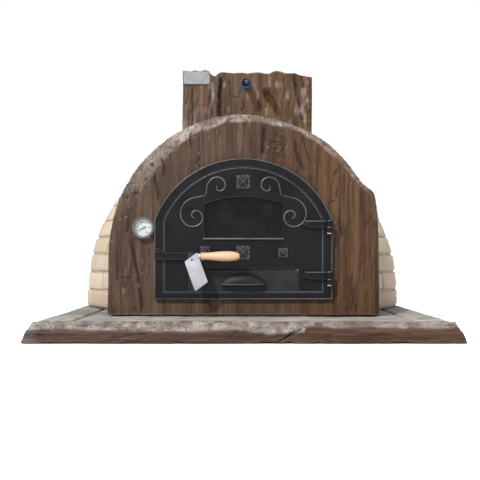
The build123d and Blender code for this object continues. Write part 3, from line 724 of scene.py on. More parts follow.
def make_block():
    """Chimney block: upright planks with a deep joint, a gnarled right edge and a broken top."""
    obj = remeshed("chimney_block", "block_carved", 0.0034)
    cracks = world_cracks([
        ([(-69, 722), (-66, 690), (-70, 650), (-68, 610), (-72, 560)], 4.2, 13),
        ([(-148, 678), (-151, 640), (-147, 600)], 2.4, 5),
        ([(-98, 700), (-96, 660), (-101, 620)], 1.8, 4),
        ([(152, 722), (154, 690), (161, 650), (170, 610), (182, 560)], 3.5, 10),
        ([(172, 715), (180, 670), (186, 640), (194, 590)], 2.5, 6),
        ([(0, 640), (4, 615), (-4, 604)], 2.0, 5),
        ([(-38, 700), (-42, 672), (-36, 640)], 1.6, 3),
        ([(120, 712), (124, 670), (118, 630)], 1.6, 3),
    ])
    co, normal, depth, hollow, facing = carve(obj, 2, 65.0, 160.0, 2.8, cracks, (0, -1, 0), 23)
    x, z = co[:, 0], co[:, 2]
    top = block_hi.z
    near_top = np.clip((z - (top - 0.022)) / 0.02, 0, 1)
    edge = 0.004 * noise(co * [1, 1, 0], 26.0, 51) + 0.003 * noise(co * [1, 1, 0], 70.0, 53)
    lump_left = (x < -0.098) & (x > -0.19)
    drop = np.where(lump_left, 0.001, 0.008) + np.clip(edge, -0.006, 0.006) + 0.002
    drop = drop + 0.010 * np.exp(-((x + 0.084) / 0.010) ** 2)
    drop = drop + 0.018 * np.clip((x - 0.12) / 0.09, 0, 1) ** 1.5
    drop = drop - 0.006 * np.exp(-((x - 0.098) / 0.013) ** 2)
    drop = np.clip(drop, 0.0005, 0.04)
    bore = np.hypot(x - (block_lo.x + block_hi.x) / 2 + 0.002, co[:, 1] - (block_lo.y + block_hi.y) / 2)
    drop = drop * np.clip((bore - 0.070) / 0.02, 0, 1)
    bark = np.clip((x - 0.150) / 0.03, 0, 1) * facing
    depth += bark * 0.004 * (popcorn(co * [1, 1, 0.35], 61) - 0.6)
    keep = np.clip((bore - 0.068) / 0.01, 0, 1)
    plate_lo, plate_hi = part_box("nameplate")
    under = (x > plate_lo.x - 0.003) & (x < plate_hi.x + 0.003)
    under &= (z > plate_lo.z - 0.003) & (facing > 0.5)
    depth = np.where(under, -0.0004, depth)
    hollow = np.where(under, 0, hollow)
    moved = co + normal * (np.clip(depth, -0.03, 0.0) * keep)[:, None]
    moved[:, 2] -= drop * near_top
    set_points(obj, moved)
    store(obj, "fissure", hollow * keep)
    # painted light: faces that point up are made paler, as the lit top of the block; the pale flecks on
    # the bark are real
    pale = np.clip(normal[:, 2], 0, 1) * 0.5 + bark * np.clip(noise(co * [1, 1, 0.3], 120.0, 67), 0, 1)
    flecks = np.clip(noise(co * [1, 1, 0.3], 90.0, 69) - 0.5, 0, 1) * 1.5 * facing
    store(obj, "rubbed_and_top_light", np.clip(pale + flecks, 0, 1))
    finish_piece(obj, "oven", block_wood)
    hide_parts("chimney_block")


def make_logs():
    """The two front logs: lengthwise grain, worn pale top edge, end grain at the left tip."""
    for node, seed in (("front_log_left", 33), ("front_log_right", 35)):
        obj = remeshed(node, node + "_carved", 0.0036)
        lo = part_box(node)[0]
        if node == "front_log_left":
            cracks = [([(-0.585, 0.018), (-0.555, 0.026), (-0.52, 0.022)], 0.002, 0.005),
                      ([(-0.580, 0.030), (-0.55, 0.036), (-0.50, 0.034)], 0.002, 0.004),
                      ([(-0.34, 0.014), (-0.30, 0.024), (-0.26, 0.027), (-0.22, 0.038)], 0.0016, 0.003),
                      ([(-0.05, 0.010), (-0.03, 0.024), (-0.015, 0.034)], 0.0016, 0.003)]
        else:
            cracks = [([(0.165, 0.055), (0.150, 0.034), (0.120, 0.020), (0.088, 0.004)], 0.003, 0.008),
                      ([(0.30, 0.020), (0.36, 0.024), (0.42, 0.021)], 0.0016, 0.003)]
        co, normal, depth, hollow, _ = carve(obj, 0, 55.0, 150.0, 2.4, cracks, (0, -1, 0), seed, lumps=5.0)
        x, y, z = co[:, 0], co[:, 1], co[:, 2]
        top = np.clip((z - 0.030) / 0.028, 0, 1)
        ahead = np.clip((lo.y + 0.024 - y) / 0.024, 0, 1)
        wave = 0.5 + 0.5 * noise(co * [1, 0, 0], 5.5, seed + 2)
        round_off = top * ahead * (0.006 + 0.010 * wave)
        low = np.clip((0.012 - z) / 0.012, 0, 1) * ahead
        ragged = low * np.clip(noise(co * [1, 0, 0], 40.0, seed + 4), 0, 1)
        moved = co + normal * np.clip(depth, -0.02, 0.0)[:, None]
        moved[:, 1] += round_off * 0.8 + ragged * 0.004
        moved[:, 2] -= round_off * 0.55
        moved[:, 2] += ragged * 0.004
        moved[:, 2] = np.maximum(moved[:, 2], 0.0)
        set_points(obj, seated(moved, node))
        store(obj, "fissure", hollow)
        margin = 0.035 + 0.008 * noise(co * [1, 0, 0], 6.0, seed + 6)
        margin += 0.003 * noise(co * [1, 0, 0], 45.0, seed + 7)
        margin += np.where(x > 0.165, 0.009, -0.014 * np.exp(-((x - 0.06) / 0.075) ** 2))
        pale = np.clip((z - margin) / 0.008 + 0.5, 0, 1)
        pale *= np.clip(0.7 + 0.6 * noise(co, 55.0, seed + 8), 0, 1)
        pale *= np.clip(0.85 + 0.5 * noise(co, 8.0, seed + 9), 0.3, 1)
        tip = np.clip((lo.x + 0.05 - x) / 0.05, 0, 1) if node == "front_log_left" else 0
        store(obj, "rubbed_and_top_light", np.clip(pale + 0.35 * tip, 0, 1))
        finish_piece(obj, "oven", log_wood)
        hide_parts(node)


def make_slab():
    """Cast boards with trowel waves, pitted front joint and chipped edges."""
    for node, seed in (("base_slab", 81), ("left_side_board", 83), ("right_side_board", 85)):
        obj = remeshed(node, node + "_cast", 0.008 if node == "base_slab" else 0.006)
        lo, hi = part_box(node)
        co, normal = points_of(obj)
        depth = 0.0014 * (layered(co, 12.0, 3, seed) - 1.0) + 0.0006 * (popcorn(co, seed + 1) - 0.8)
        front = np.exp(-((co[:, 1] - lo.y) / 0.009) ** 2) * (normal[:, 2] > 0.4)
        pits = np.clip(noise(co * [1, 1, 0], [95.0, 120.0, 1.0], seed + 3) - 0.05, 0, 1)
        depth -= 0.012 * front * pits
        sides = np.minimum(co[:, 0] - lo.x, hi.x - co[:, 0])
        seam = np.exp(-(sides / 0.006) ** 2) * (normal[:, 2] > 0.4)
        depth -= 0.0035 * seam * (1 + 0.5 * noise(co, 30.0, seed + 5))
        moved = co + normal * np.clip(depth, -0.02, 0)[:, None]
        set_points(obj, seated(moved, node))
        behind = co[:, 1] - lo.y
        film = np.clip(1.3 - behind / 0.20, 0, 1)
        film *= np.clip(0.60 + 0.7 * layered(co, 30.0, 3, seed + 7), 0, 1)
        store(obj, "rubbed_and_top_light", film * (normal[:, 2] > 0.4))
        store(obj, "fissure", np.clip(3.0 * front * pits, 0, 0.9))
        finish_piece(obj, "oven", concrete)
        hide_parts(node)


def make_peg():
    """Tapered tool peg with a bark-like surface and a rounded tip."""
    lo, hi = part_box("tool_peg")
    centre = ((lo.x + hi.x) / 2, block_lo.y, (lo.z + hi.z) / 2)
    length = block_lo.y - lo.y
    profile = [(-0.02, 0.007), (-0.001, 0.007), (0, 0.0128), (0.3 * length, 0.0118),
               (0.6 * length, 0.0102), (0.88 * length, 0.0086), (0.97 * length, 0.0072), (length, 0.0035)]
    obj = lathe("peg_carved", profile, centre, (0, -1, 0), 48)
    modifier = obj.modifiers.new("subdivide", "SUBSURF")
    modifier.levels = modifier.render_levels = 2
    obj = applied(obj)
    co, normal = points_of(obj)
    ridges, fissure = grain(co, 1, 190.0, 300.0, 91)
    set_points(obj, co + normal * (-0.0005 * np.abs(ridges) - 0.0008 * fissure)[:, None])
    store(obj, "fissure", 0.8 * fissure)
    # painted light: the peg's upward side is made paler, as its lit top
    store(obj, "rubbed_and_top_light", np.clip(normal[:, 2], 0, 1) * 0.35)
    finish_piece(obj, "oven", block_wood)
    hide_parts("tool_peg")


make_facade()
make_block()
make_logs()
make_slab()
make_peg()


# ---------------------------------------------------------------- bricks
DOME_POWER = 2.2
COURSE = 0.062
BRICK_LENGTH = 0.215
JOINT = 0.0075
CAP = 0.07              # the top course's share of the arc, closed by five wedge bricks
MORTAR_INSETS = (0.0048, 0.017)
dome_r = (brick_hi.x - brick_lo.x) / 2
dome_h = brick_hi.z - slab_top
dome_y = brick_hi.y - dome_r
facade_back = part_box("facade")[1].y
porch_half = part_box("brick_porch")[1].x
porch_r = sqrt(porch_half ** 2 + 0.1041 ** 2)


def dome_profile():
    """The dome's side as heights and radii at even steps of its arc length."""
    t = np.linspace(0, pi / 2, 2000)
    r = dome_r * np.cos(t).clip(0) ** (2 / DOME_POWER)
    z = dome_h * np.sin(t) ** (2 / DOME_POWER)
    arc = np.concatenate([[0], np.cumsum(np.hypot(np.diff(r), np.diff(z)))])
    return arc, r, z


profile_arc, profile_r, profile_z = dome_profile()


def shell_point(angle, arc, inset=0.0):
    """A point on the brickwork: angle about the dome's axis from the front, and height by arc length."""
    r = np.interp(arc, profile_arc, profile_r)
    z = np.interp(arc, profile_arc, profile_z)
    over = z - ARC_UP * MM
    spring = sqrt(porch_r ** 2 - porch_half ** 2)
    half = porch_half if over < spring else sqrt(max(porch_r ** 2 - over ** 2, 0))
    ahead = cos(angle)
    if ahead > 0.05:
        limit = (dome_y - facade_back - 0.001) / ahead
        porch = min(half / max(abs(sin(angle)), 1e-4), limit)
        r = min(max(r, porch), limit)
    near = [arc - 0.002, arc + 0.002]
    slope = np.diff(np.interp(near, profile_arc, profile_r))[0]
    rise = np.diff(np.interp(near, profile_arc, profile_z))[0]
    tall = sqrt(slope * slope + rise * rise) + 1e-9
    out_r, out_z = rise / tall, -slope / tall
    r -= inset * out_r
    return Vector((r * sin(angle), dome_y - r * cos(angle), slab_top + z - inset * out_z))


def hidden_brick(point):
    """Bricks inside the chimney block or flat against the facade aren't laid."""
    in_block = block_lo.x + 0.03 < point.x < block_hi.x - 0.03 and point.y < block_hi.y - 0.03
    in_block = in_block and point.z > block_lo.z + 0.02
    return in_block or point.y < facade_back + 0.004


def make_bricks():
    """Running courses of hand-made bricks, each one slightly out of line, in a mortar bed."""
    rng = np.random.default_rng(7)
    total = profile_arc[-1]
    courses = int(round((total - CAP) / COURSE))
    height = (total - CAP) / courses
    verts, faces, tones = [], [], []
    us = [0.0, 0.035, 0.25, 0.5, 0.75, 0.965, 1.0]
    vs = [0.0, 0.10, 0.5, 0.90, 1.0]
    wide, tall = len(us), len(vs)
    centre = Vector((0, dome_y, slab_top + 0.1))
    for course in range(courses + 1):
        low = course * height
        high = low + height if course < courses else total
        middle_r = np.interp((low + high) / 2, profile_arc, profile_r)
        count = max(1, int(round(2 * pi * middle_r / BRICK_LENGTH)))
        if course == courses:
            count = 5
        gap = JOINT / max(middle_r, 0.05)
        shift = (course % 2) * 0.5 + rng.uniform(-0.06, 0.06)
        for item in range(count):
            a0 = 2 * pi * (item + shift) / count + gap / 2 + rng.uniform(-0.1, 0.1) * gap
            a1 = 2 * pi * (item + 1 + shift) / count - gap / 2
            s0 = low + JOINT / 2 + rng.uniform(-0.0012, 0.0012)
            s1 = high - JOINT / 2 + rng.uniform(-0.0012, 0.0012)
            if course == courses:
                s1 = total - 0.012
            turn = (a0 + a1) / 2
            turn = turn if turn < pi else turn - 2 * pi
            if hidden_brick(shell_point(turn, (s0 + s1) / 2)):
                continue
            tone = rng.uniform(0, 1)
            push = rng.uniform(-0.0006, 0.0022)
            tilt = rng.uniform(-0.0012, 0.0012)
            base = len(verts)
            for v in vs:
                for u in us:
                    angle = a0 + (a1 - a0) * u
                    angle = angle if angle < pi else angle - 2 * pi
                    p = shell_point(angle, s0).lerp(shell_point(angle, s1), v)
                    edge = u in (0.0, 1.0) or v in (0.0, 1.0)
                    inset = 0.0028 if edge else push + tilt * (u - 0.5) - 0.001
                    out = Vector((p.x - centre.x, p.y - centre.y, 0.35 * max(p.z - centre.z, 0)))
                    upright = course / courses
                    out = (out.normalized() * (1 - upright) + Vector((0, 0, upright))).normalized()
                    ripple = 0.0007 * sin(37 * p.x + 3 * item) * cos(41 * p.z + 2 * course)
                    verts.append(p - out * (inset + ripple))
                    tones.append(tone)
            ring = grid_edge(wide, tall)
            for index in ring:
                p = verts[base + index]
                out = (p - centre).normalized()
                verts.append(p - out * 0.012)
                tones.append(tone)
            faces += grid_faces(wide, tall, base)
            skirt = base + wide * tall
            for k in range(len(ring)):
                n = (k + 1) % len(ring)
                faces.append((base + ring[n], base + ring[k], skirt + k, skirt + n))
            faces.append(tuple(skirt + k for k in range(len(ring))))
    obj = mesh_object("brick_courses", verts, faces)
    store(obj, "tone", tones)
    finish_piece(obj, "oven", firebrick)
    modifier = obj.modifiers.new("subdivide", "SUBSURF")
    modifier.subdivision_type = "SIMPLE"
    modifier.levels = modifier.render_levels = 1


def make_mortar():
    """The mortar bed under the bricks, a closed shell with a dabbed surface."""
    around, rows = 220, 70
    total = profile_arc[-1]
    verts, faces = [], []
    for inset in MORTAR_INSETS:
        for row in range(rows):
            arc = total * row / rows
            for i in range(around):
                angle = 2 * pi * i / around
                angle = angle if angle < pi else angle - 2 * pi
                verts.append(shell_point(angle, arc, inset))
    verts += [Vector((0, dome_y, slab_top + dome_h - inset)) for inset in MORTAR_INSETS]
    layer = rows * around
    for shell in (0, 1):
        start = shell * layer
        pole = 2 * layer + shell
        for row in range(rows - 1):
            for i in range(around):
                j = (i + 1) % around
                a, b = start + row * around + i, start + row * around + j
                quad = (a, b, b + around, a + around)
                faces.append(quad if shell == 0 else quad[::-1])
        for i in range(around):
            j = (i + 1) % around
            top = start + (rows - 1) * around
            tri = (top + i, top + j, pole)
            faces.append(tri if shell == 0 else tri[::-1])
    for i in range(around):
        j = (i + 1) % around
        faces.append((j, i, layer + i, layer + j))
    obj = mesh_object("mortar_bed", verts, faces)
    co = points_of(obj)[0]
    keep = co[:, 2] > slab_top + 0.004
    rough = 0.0016 * layered(co, 45.0, 3, 97) * keep
    moved = co.copy()
    outer = np.arange(len(co)) < layer
    radial = co - np.array([0, dome_y, slab_top])
    radial /= np.linalg.norm(radial, axis=1)[:, None]
    moved[outer] += (radial * rough[:, None])[outer]
    set_points(obj, moved)
    finish_piece(obj, "oven", mortar)
    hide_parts("brick_skin", "brick_porch")


# ---------------------------------------------------------------- cast iron door
def on_leaf(x, up, out=0.0):
    """A point on the leaf's face from millimetres across and over the slab."""
    return Vector((x * MM, leaf_y - out * MM, slab_top + up * MM))


def scroll_points(side):
    """One mirrored half of the scroll: small spiral over the window, big one beside it."""
    points = []
    for k in range(26):
        t = 1 - k / 25
        a = radians(270 - 550 * t)
        r = 6.5 + 48.5 * t ** 1.6
        points.append((-139 + r * cos(a), 289 + r * sin(a)))
    points.reverse()
    points += [(-120, 345), (-111, 347)]
    lead = []
    for k in range(20):
        t = k / 19
        a = radians(215 + 349 * t)
        r = 17 * (1 - 2.718 ** (-8 * t)) + 15.5 * t ** 5 + 4
        lead.append((-72 + r * cos(a), 377 + r * sin(a)))
    route = lead + [(-108, 349)]
    return [[on_leaf(-side * x, z, 0.4) for x, z in line] for line in (route, points[::-1])]


def make_scrolls():
    """Half-round scroll lines standing on the leaf."""
    parts = []
    for side in (-1, 1):
        upper, lower = scroll_points(side)
        for label, route in (("upper", upper), ("lower", lower)):
            count = len(route)
            radii = [0.55 + 0.45 * min(1, 4 * min(i, count - 1 - i) / count) for i in range(count)]
            parts.append(curve_tube(f"scroll_{label}_{side}", route, 0.0019, radii=radii, resolution=4))
    obj = joined("door_scrolls", parts)
    finish_piece(obj, "door", rubbed_and_highlight_iron)


def make_window_rim():
    """A bead round the window and a ledge under it."""
    glass_lo, glass_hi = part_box("window_glass")
    half = glass_hi.x - 0.008
    foot = glass_lo.z + 0.008
    top = glass_hi.z - 0.008
    spring = top - 0.020
    head = []
    for k in range(13):
        x = -half + 2 * half * k / 12
        radius = (half ** 2 + 0.02 ** 2) / 0.04
        head.append(Vector((x, leaf_y - 0.0004, top - radius + sqrt(radius ** 2 - x * x))))
    left = [Vector((-half, leaf_y - 0.0004, z)) for z in (foot, spring - 0.02)]
    right = [Vector((half, leaf_y - 0.0004, z)) for z in (spring - 0.02, foot)]
    rim = curve_tube("rim", left + head + right, 0.0014, kind="POLY")
    ledge = rounded_box("ledge", (-half - 0.003, half + 0.003), (leaf_y - 0.006, leaf_y + 0.002),
                        (foot - 0.004, foot + 0.0005), 0.0012)
    rim.name = "window_rim"
    finish_piece(rim, "door", iron)
    ledge.name = "window_ledge"
    finish_piece(ledge, "door", rubbed_and_highlight_iron)


def arch_route(half, foot, spring, radius, centre_up, y, steps=30):
    """Up one side, over the arch and down the other, in millimetres over the slab."""
    turn = radians(90) - atan2(spring - centre_up, half)
    route = [(-half, foot), (-half, (foot + spring) / 2)]
    for k in range(steps + 1):
        a = turn - 2 * turn * k / steps
        route.append((-radius * sin(a), centre_up + radius * cos(a)))
    route += [(half, (foot + spring) / 2), (half, foot)]
    return [Vector((x * MM, y, slab_top + up * MM)) for x, up in route]


def make_beads():
    """Cast beads along the door frame's outer edge and the leaf's own edge, in the brighter iron: rubbed
    metal, and in part a painted highlight line.
    """
    frame_foot = (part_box("door_frame")[0].z - slab_top) / MM
    for label, body, y, half, foot, radius, inset, size in (
            ("frame_bead", "oven", frame_y, 255.0, frame_foot, 272.7, 1.4, 1.2),
            ("leaf_bead", "door", leaf_y, 229.0, 68.8, 247.7, 2.0, 0.9)):
        half, radius, foot = half - inset, radius - inset, foot + inset
        spring = ARC_UP + sqrt(radius ** 2 - half ** 2)
        route = arch_route(half, foot, spring, radius, ARC_UP, y)
        bead = curve_tube(label, route, size * MM, cyclic=True, kind="POLY")
        finish_piece(bead, body, rubbed_and_highlight_iron)


def make_strap_highlights():
    """Painted highlights: bars of the brighter iron along the top edges of the two hinge straps, where the
    light catches them.
    """
    face = frame_y - 0.010
    parts = []
    for k, up in enumerate((273.2, 127.2)):
        route = [Vector((x * MM, face + 0.0005, slab_top + up * MM)) for x in (175, 200, 226, 240)]
        parts.append(curve_tube(f"strap_edge_{k}", route, 0.0015, kind="POLY"))
    obj = joined("strap_edges", parts)
    finish_piece(obj, "door", rubbed_and_highlight_iron)


def rounded_box(name, xs, ys, zs, radius):
    """A box with rounded edges."""
    bm = bmesh.new()
    bmesh.ops.create_cube(bm, size=1.0)
    for vert in bm.verts:
        vert.co.x = xs[0] if vert.co.x < 0 else xs[1]
        vert.co.y = ys[0] if vert.co.y < 0 else ys[1]
        vert.co.z = zs[0] if vert.co.z < 0 else zs[1]
    bmesh.ops.bevel(bm, geom=bm.edges[:], offset=radius, segments=3, profile=0.7, affect="EDGES")
    mesh = bpy.data.meshes.new(name)
    bm.to_mesh(mesh)
    bm.free()
    return link(bpy.data.objects.new(name, mesh))


def make_studs():
    """Cast rosettes: a diamond point with three leaf tips along each side."""
    places = ((0.0, 386.0, 21.0), (0.0, 183.0, 21.0), (114.0, 183.0, 14.5), (-110.0, 188.0, 14.5))
    size = 28
    tallest = (leaf_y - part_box("door_studs")[0].y) / MM
    parts = []
    for number, (x, up, half) in enumerate(places):
        tall = tallest * (0.5 + 0.5 * half / 21.0)
        verts = []
        for j in range(size + 1):
            for i in range(size + 1):
                u, v = 2 * i / size - 1, 2 * j / size - 1
                ring = max(abs(u), abs(v))
                side = u if abs(v) > abs(u) else v
                if ring < 0.66:
                    reach, height = 1.0, 4.0 + (tall - 4.0) * (1 - ring / 0.66)
                else:
                    crown = sqrt(max(0.0, 1 - ((ring - 0.83) / 0.17) ** 2))
                    petal = 0.5 + 0.5 * cos(3.5 * pi * side)
                    reach = 1 - 0.09 * (1 - petal) * (ring - 0.66) / 0.34
                    height = 1.2 + crown * (1.0 + 2.4 * petal)
                if ring > 0.999:
                    height = -0.2
                verts.append(on_leaf(x + u * half * reach, up + v * half * reach, height))
        faces = grid_faces(size + 1, size + 1)
        faces.append(tuple(reversed(grid_edge(size + 1, size + 1))))
        parts.append(mesh_object(f"stud_{number}", verts, faces))
    obj = joined("door_rosettes", parts)
    finish_piece(obj, "door", rosette_iron, smooth=False)
    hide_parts("door_studs")


def make_flap_detail():
    """Cup pull with a rolled lip and feet, and a small C scroll on each side."""
    cup_lo, cup_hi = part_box("cup_pull")
    flap_y = cup_hi.y
    half, deep = cup_hi.x - 0.0005, flap_y - cup_lo.y
    foot, rise = cup_lo.z, cup_hi.z - cup_lo.z
    rows, columns = 9, 33
    verts, faces = [], []
    for layer, shrink in ((0, 0.0), (1, 0.0032)):
        for r in range(rows):
            lean = pi / 2 * r / (rows - 1)
            for c in range(columns):
                a = pi * c / (columns - 1)
                x = -(half - shrink) * cos(a)
                z = foot + max(rise - shrink, 0.002) * sin(a) ** 0.9 * cos(lean) ** 0.55
                y = flap_y + 0.0005 - (deep - 0.002 - shrink) * sin(lean) * (0.35 + 0.65 * sin(a) ** 0.7)
                verts.append(Vector((x, y, z)))
    count = rows * columns
    for layer in (0, 1):
        for r in range(rows - 1):
            for c in range(columns - 1):
                q = layer * count + r * columns + c
                quad = (q, q + columns, q + columns + 1, q + 1)
                faces.append(quad if layer == 0 else quad[::-1])
    for c in range(columns - 1):
        a = (rows - 1) * columns + c
        faces.append((a, count + a, count + a + 1, a + 1))
        faces.append((c + 1, count + c + 1, count + c, c))
    cup = mesh_object("cup", verts, faces)
    welded(cup.data, 1e-6, True)
    lip = []
    for k in range(21):
        a = pi * k / 20
        out = (deep - 0.006) * (0.35 + 0.65 * sin(a) ** 0.7) * min(1.0, 6 * sin(a) + 0.05)
        lip.append(Vector((-(half - 0.002) * cos(a), flap_y - 0.002 - out, foot + 0.0025)))
    lip = curve_tube("lip", lip, 0.0022)
    parts = [cup, lip]
    for side in (-1, 1):
        curl = []
        for k in range(15):
            t = k / 14
            a = radians(200 - 330 * t)
            r = 0.0085 - 0.0055 * t
            curl.append(Vector((side * (half + 0.0085 + r * cos(a) * 0.8), flap_y - 0.0002,
                                foot + 0.021 + r * sin(a) * (1.5 - 0.5 * t))))
        parts.append(curve_tube(f"curl_{side}", curl, 0.0013))
        toe = [Vector((side * (half - 0.001), flap_y - 0.001, foot + 0.004)),
               Vector((side * (half + 0.001), flap_y - 0.004, foot)),
               Vector((side * (half - 0.002), flap_y - 0.005, foot - 0.004))]
        parts.append(curve_tube(f"toe_{side}", toe, 0.0020))
    obj = joined("flap_pull", parts)
    finish_piece(obj, "flap", flap_iron)
    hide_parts("cup_pull")


make_bricks()
make_mortar()
make_scrolls()
make_window_rim()
make_beads()
make_strap_highlights()
make_studs()
make_flap_detail()


# ---------------------------------------------------------------- damper grip
def make_coil():
    """The damper's cool grip: a tapering wire coil that runs out into a curled tail."""
    grip_lo, grip_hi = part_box("damper_coil_grip")
    tail_lo, tail_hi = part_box("damper_tail")
    axis_x = (grip_lo.x + grip_hi.x) / 2
    axis_z = (grip_lo.z + grip_hi.z) / 2
    wire = 0.0024
    wide = (grip_hi.x - grip_lo.x) / 2 - wire
    turns, steps = 6.5, 26
    count = int(turns * steps)
    points = []
    for k in range(count + 1):
        t = k / count
        a = radians(200) - 2 * pi * turns * (1 - t)
        r = wide * (0.52 + 0.48 * t)
        y = grip_hi.y - wire - (grip_hi.y - grip_lo.y - 2 * wire) * t
        droop = 0.0052 - 0.0082 * t
        points.append(Vector((axis_x + droop * 0.8 + r * cos(a), y, axis_z + droop + r * sin(a))))
    tail_y = (tail_lo.y + tail_hi.y) / 2
    for x, z in ((-17.5, -14), (-20.5, -24), (-21, -35), (-24, -42), (-30, -45), (-36.5, -43.5),
                 (-40.5, -37.5), (-41, -33.5)):
        points.append(Vector((axis_x + x * MM, tail_y, axis_z + z * MM)))
    coil = curve_tube("coil", points, wire, resolution=3)
    core = lathe("core", [(0, 0.0062), (0.001, 0.0070), (0.055, 0.0062), (0.0562, 0.0052)],
                 (axis_x, grip_hi.y, axis_z), (0, -1, 0), 32)
    obj = joined("coil_grip", [coil, core])
    finish_piece(obj, "damper", dark_steel)
    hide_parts("damper_coil_grip", "damper_tail")


# ---------------------------------------------------------------- latch grip and tag
def make_grip():
    """Turned beech grip: a collar, a slim neck, a swelling with a scribed groove, a round end."""
    lo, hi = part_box("latch_grip")
    centre = (lo.x, (lo.y + hi.y) / 2, (lo.z + hi.z) / 2)
    length = hi.x - lo.x
    profile = [(0, 0.0045), (0, 0.0098), (0.0008, 0.0109), (0.0022, 0.0114), (0.0042, 0.0113),
               (0.0054, 0.0106), (0.0062, 0.0098), (0.0070, 0.0100)]
    for k in range(1, 13):
        t = k / 12
        profile.append((0.0070 + t * (length * 0.62 - 0.0070), 0.0100 + 0.0040 * (1 - cos(pi * t)) / 2))
    groove = length * 0.655
    profile += [(groove - 0.0012, 0.01415), (groove, 0.01335), (groove + 0.0012, 0.01415)]
    for k in range(1, 17):
        a = pi / 2 * k / 16
        radius = 0.0142 * cos(a) ** 0.62 if k < 16 else 0.0006
        profile.append((groove + 0.0012 + (length - groove - 0.0012) * sin(a), radius))
    obj = lathe("turned_grip", profile, centre, (1, 0, 0), 72)
    finish_piece(obj, "latch", beech)
    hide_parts("latch_grip")


def make_tag():
    """A curled card tag with clipped corners and an eyelet hole, on a twisted wire."""
    lo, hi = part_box("paper_tag")
    tie_lo, tie_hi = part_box("tag_tie")
    centre = (lo + hi) / 2
    lean = radians(20)
    wide, tall, thick = 0.042, 0.088, 0.0007
    hole_t, hole_r = 0.5 - 8 / 88, 0.0030
    columns, rows = 25, 45
    right = Vector((0.85, 0, 0.62))
    upward = Vector((-sin(lean), 0, cos(lean)))
    toward = Vector((0, -1, 0))
    hole = upward * (hole_t * tall)

    def place(s, t, side):
        """s across and t along, each from -0.5 to 0.5, on the front or the back of the card."""
        clip = max(0.0, abs(t) - 0.47) / 0.03
        s = s * (1 - 0.06 * clip)
        curl = 0.0026 * (1 - (2 * s) ** 2) + 0.0036 * cos(pi * t) - 0.0024 + 0.0007 * sin(9 * t + 5 * s)
        forward = toward * (curl - 0.0006 + side * thick / 2)
        return centre + right * (s * wide) + upward * (t * tall) + forward

    verts, faces = [], []
    for side in (1, -1):
        for r in range(rows):
            for c in range(columns):
                verts.append(place(c / (columns - 1) - 0.5, r / (rows - 1) - 0.5, side))
    layer = rows * columns
    for r in range(rows - 1):
        for c in range(columns - 1):
            q = r * columns + c
            faces.append((q, q + 1, q + columns + 1, q + columns))
            faces.append((layer + q, layer + q + columns, layer + q + columns + 1, layer + q + 1))
    edge = grid_edge(columns, rows)
    for i, a in enumerate(edge):
        b = edge[(i + 1) % len(edge)]
        faces.append((b, a, layer + a, layer + b))
    obj = mesh_object("card_tag", verts, faces)
    cutter = lathe("cutter", [(-0.01, hole_r), (0.01, hole_r)], centre + hole, (0, 1, 0), 32)
    punch = obj.modifiers.new("hole", "BOOLEAN")
    punch.object = cutter
    punch.solver = "EXACT"
    obj = applied(obj)
    bpy.data.objects.remove(cutter)
    finish_piece(obj, "tag", card)
    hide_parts("paper_tag")

    ring_x = (tie_lo.x + tie_hi.x) / 2 if tie_hi.x - tie_lo.x < 0.004 else tie_hi.x - 0.0008
    grip_lo, grip_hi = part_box("latch_ferrule")
    axis_y = (grip_lo.y + grip_hi.y) / 2
    axis_z = (grip_lo.z + grip_hi.z) / 2
    radius = (grip_hi.z - grip_lo.z) / 2 + 0.0012
    loop = []
    for k in range(24):
        a = 2 * pi * k / 24
        x = ring_x + 0.0006 * sin(3 * a)
        loop.append(Vector((x, axis_y + radius * cos(a), axis_z + radius * sin(a))))
    eye = centre + hole
    strands = [curve_tube("loop", loop, 0.0007, cyclic=True)]
    start = Vector((ring_x, axis_y - radius, axis_z))
    stop = eye + Vector((0.0008, -0.0028, 0.0016))
    for phase in (0, pi):
        twist = []
        for k in range(13):
            t = k / 12
            sway = 0.0007 * sin(pi * t) ** 0.3 if 0 < t < 1 else 0
            a = 4 * pi * t + phase
            twist.append(start.lerp(stop, t) + Vector((sway * cos(a), sway * 0.4, sway * sin(a))))
        strands.append(curve_tube(f"strand_{phase:.0f}", twist, 0.00055))
    hook = [stop, eye + Vector((0.0004, -0.0034, -0.0002)), eye + Vector((0, -0.001, -0.0014)),
            eye + Vector((0, 0.0022, -0.0006)), eye + Vector((0.0002, 0.0020, 0.0022)),
            eye + Vector((0.0006, -0.0006, 0.0034)), stop]
    strands.append(curve_tube("hook", hook, 0.0006))
    tie = joined("wire_tie", strands)
    finish_piece(tie, "tag", steel)
    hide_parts("tag_tie")


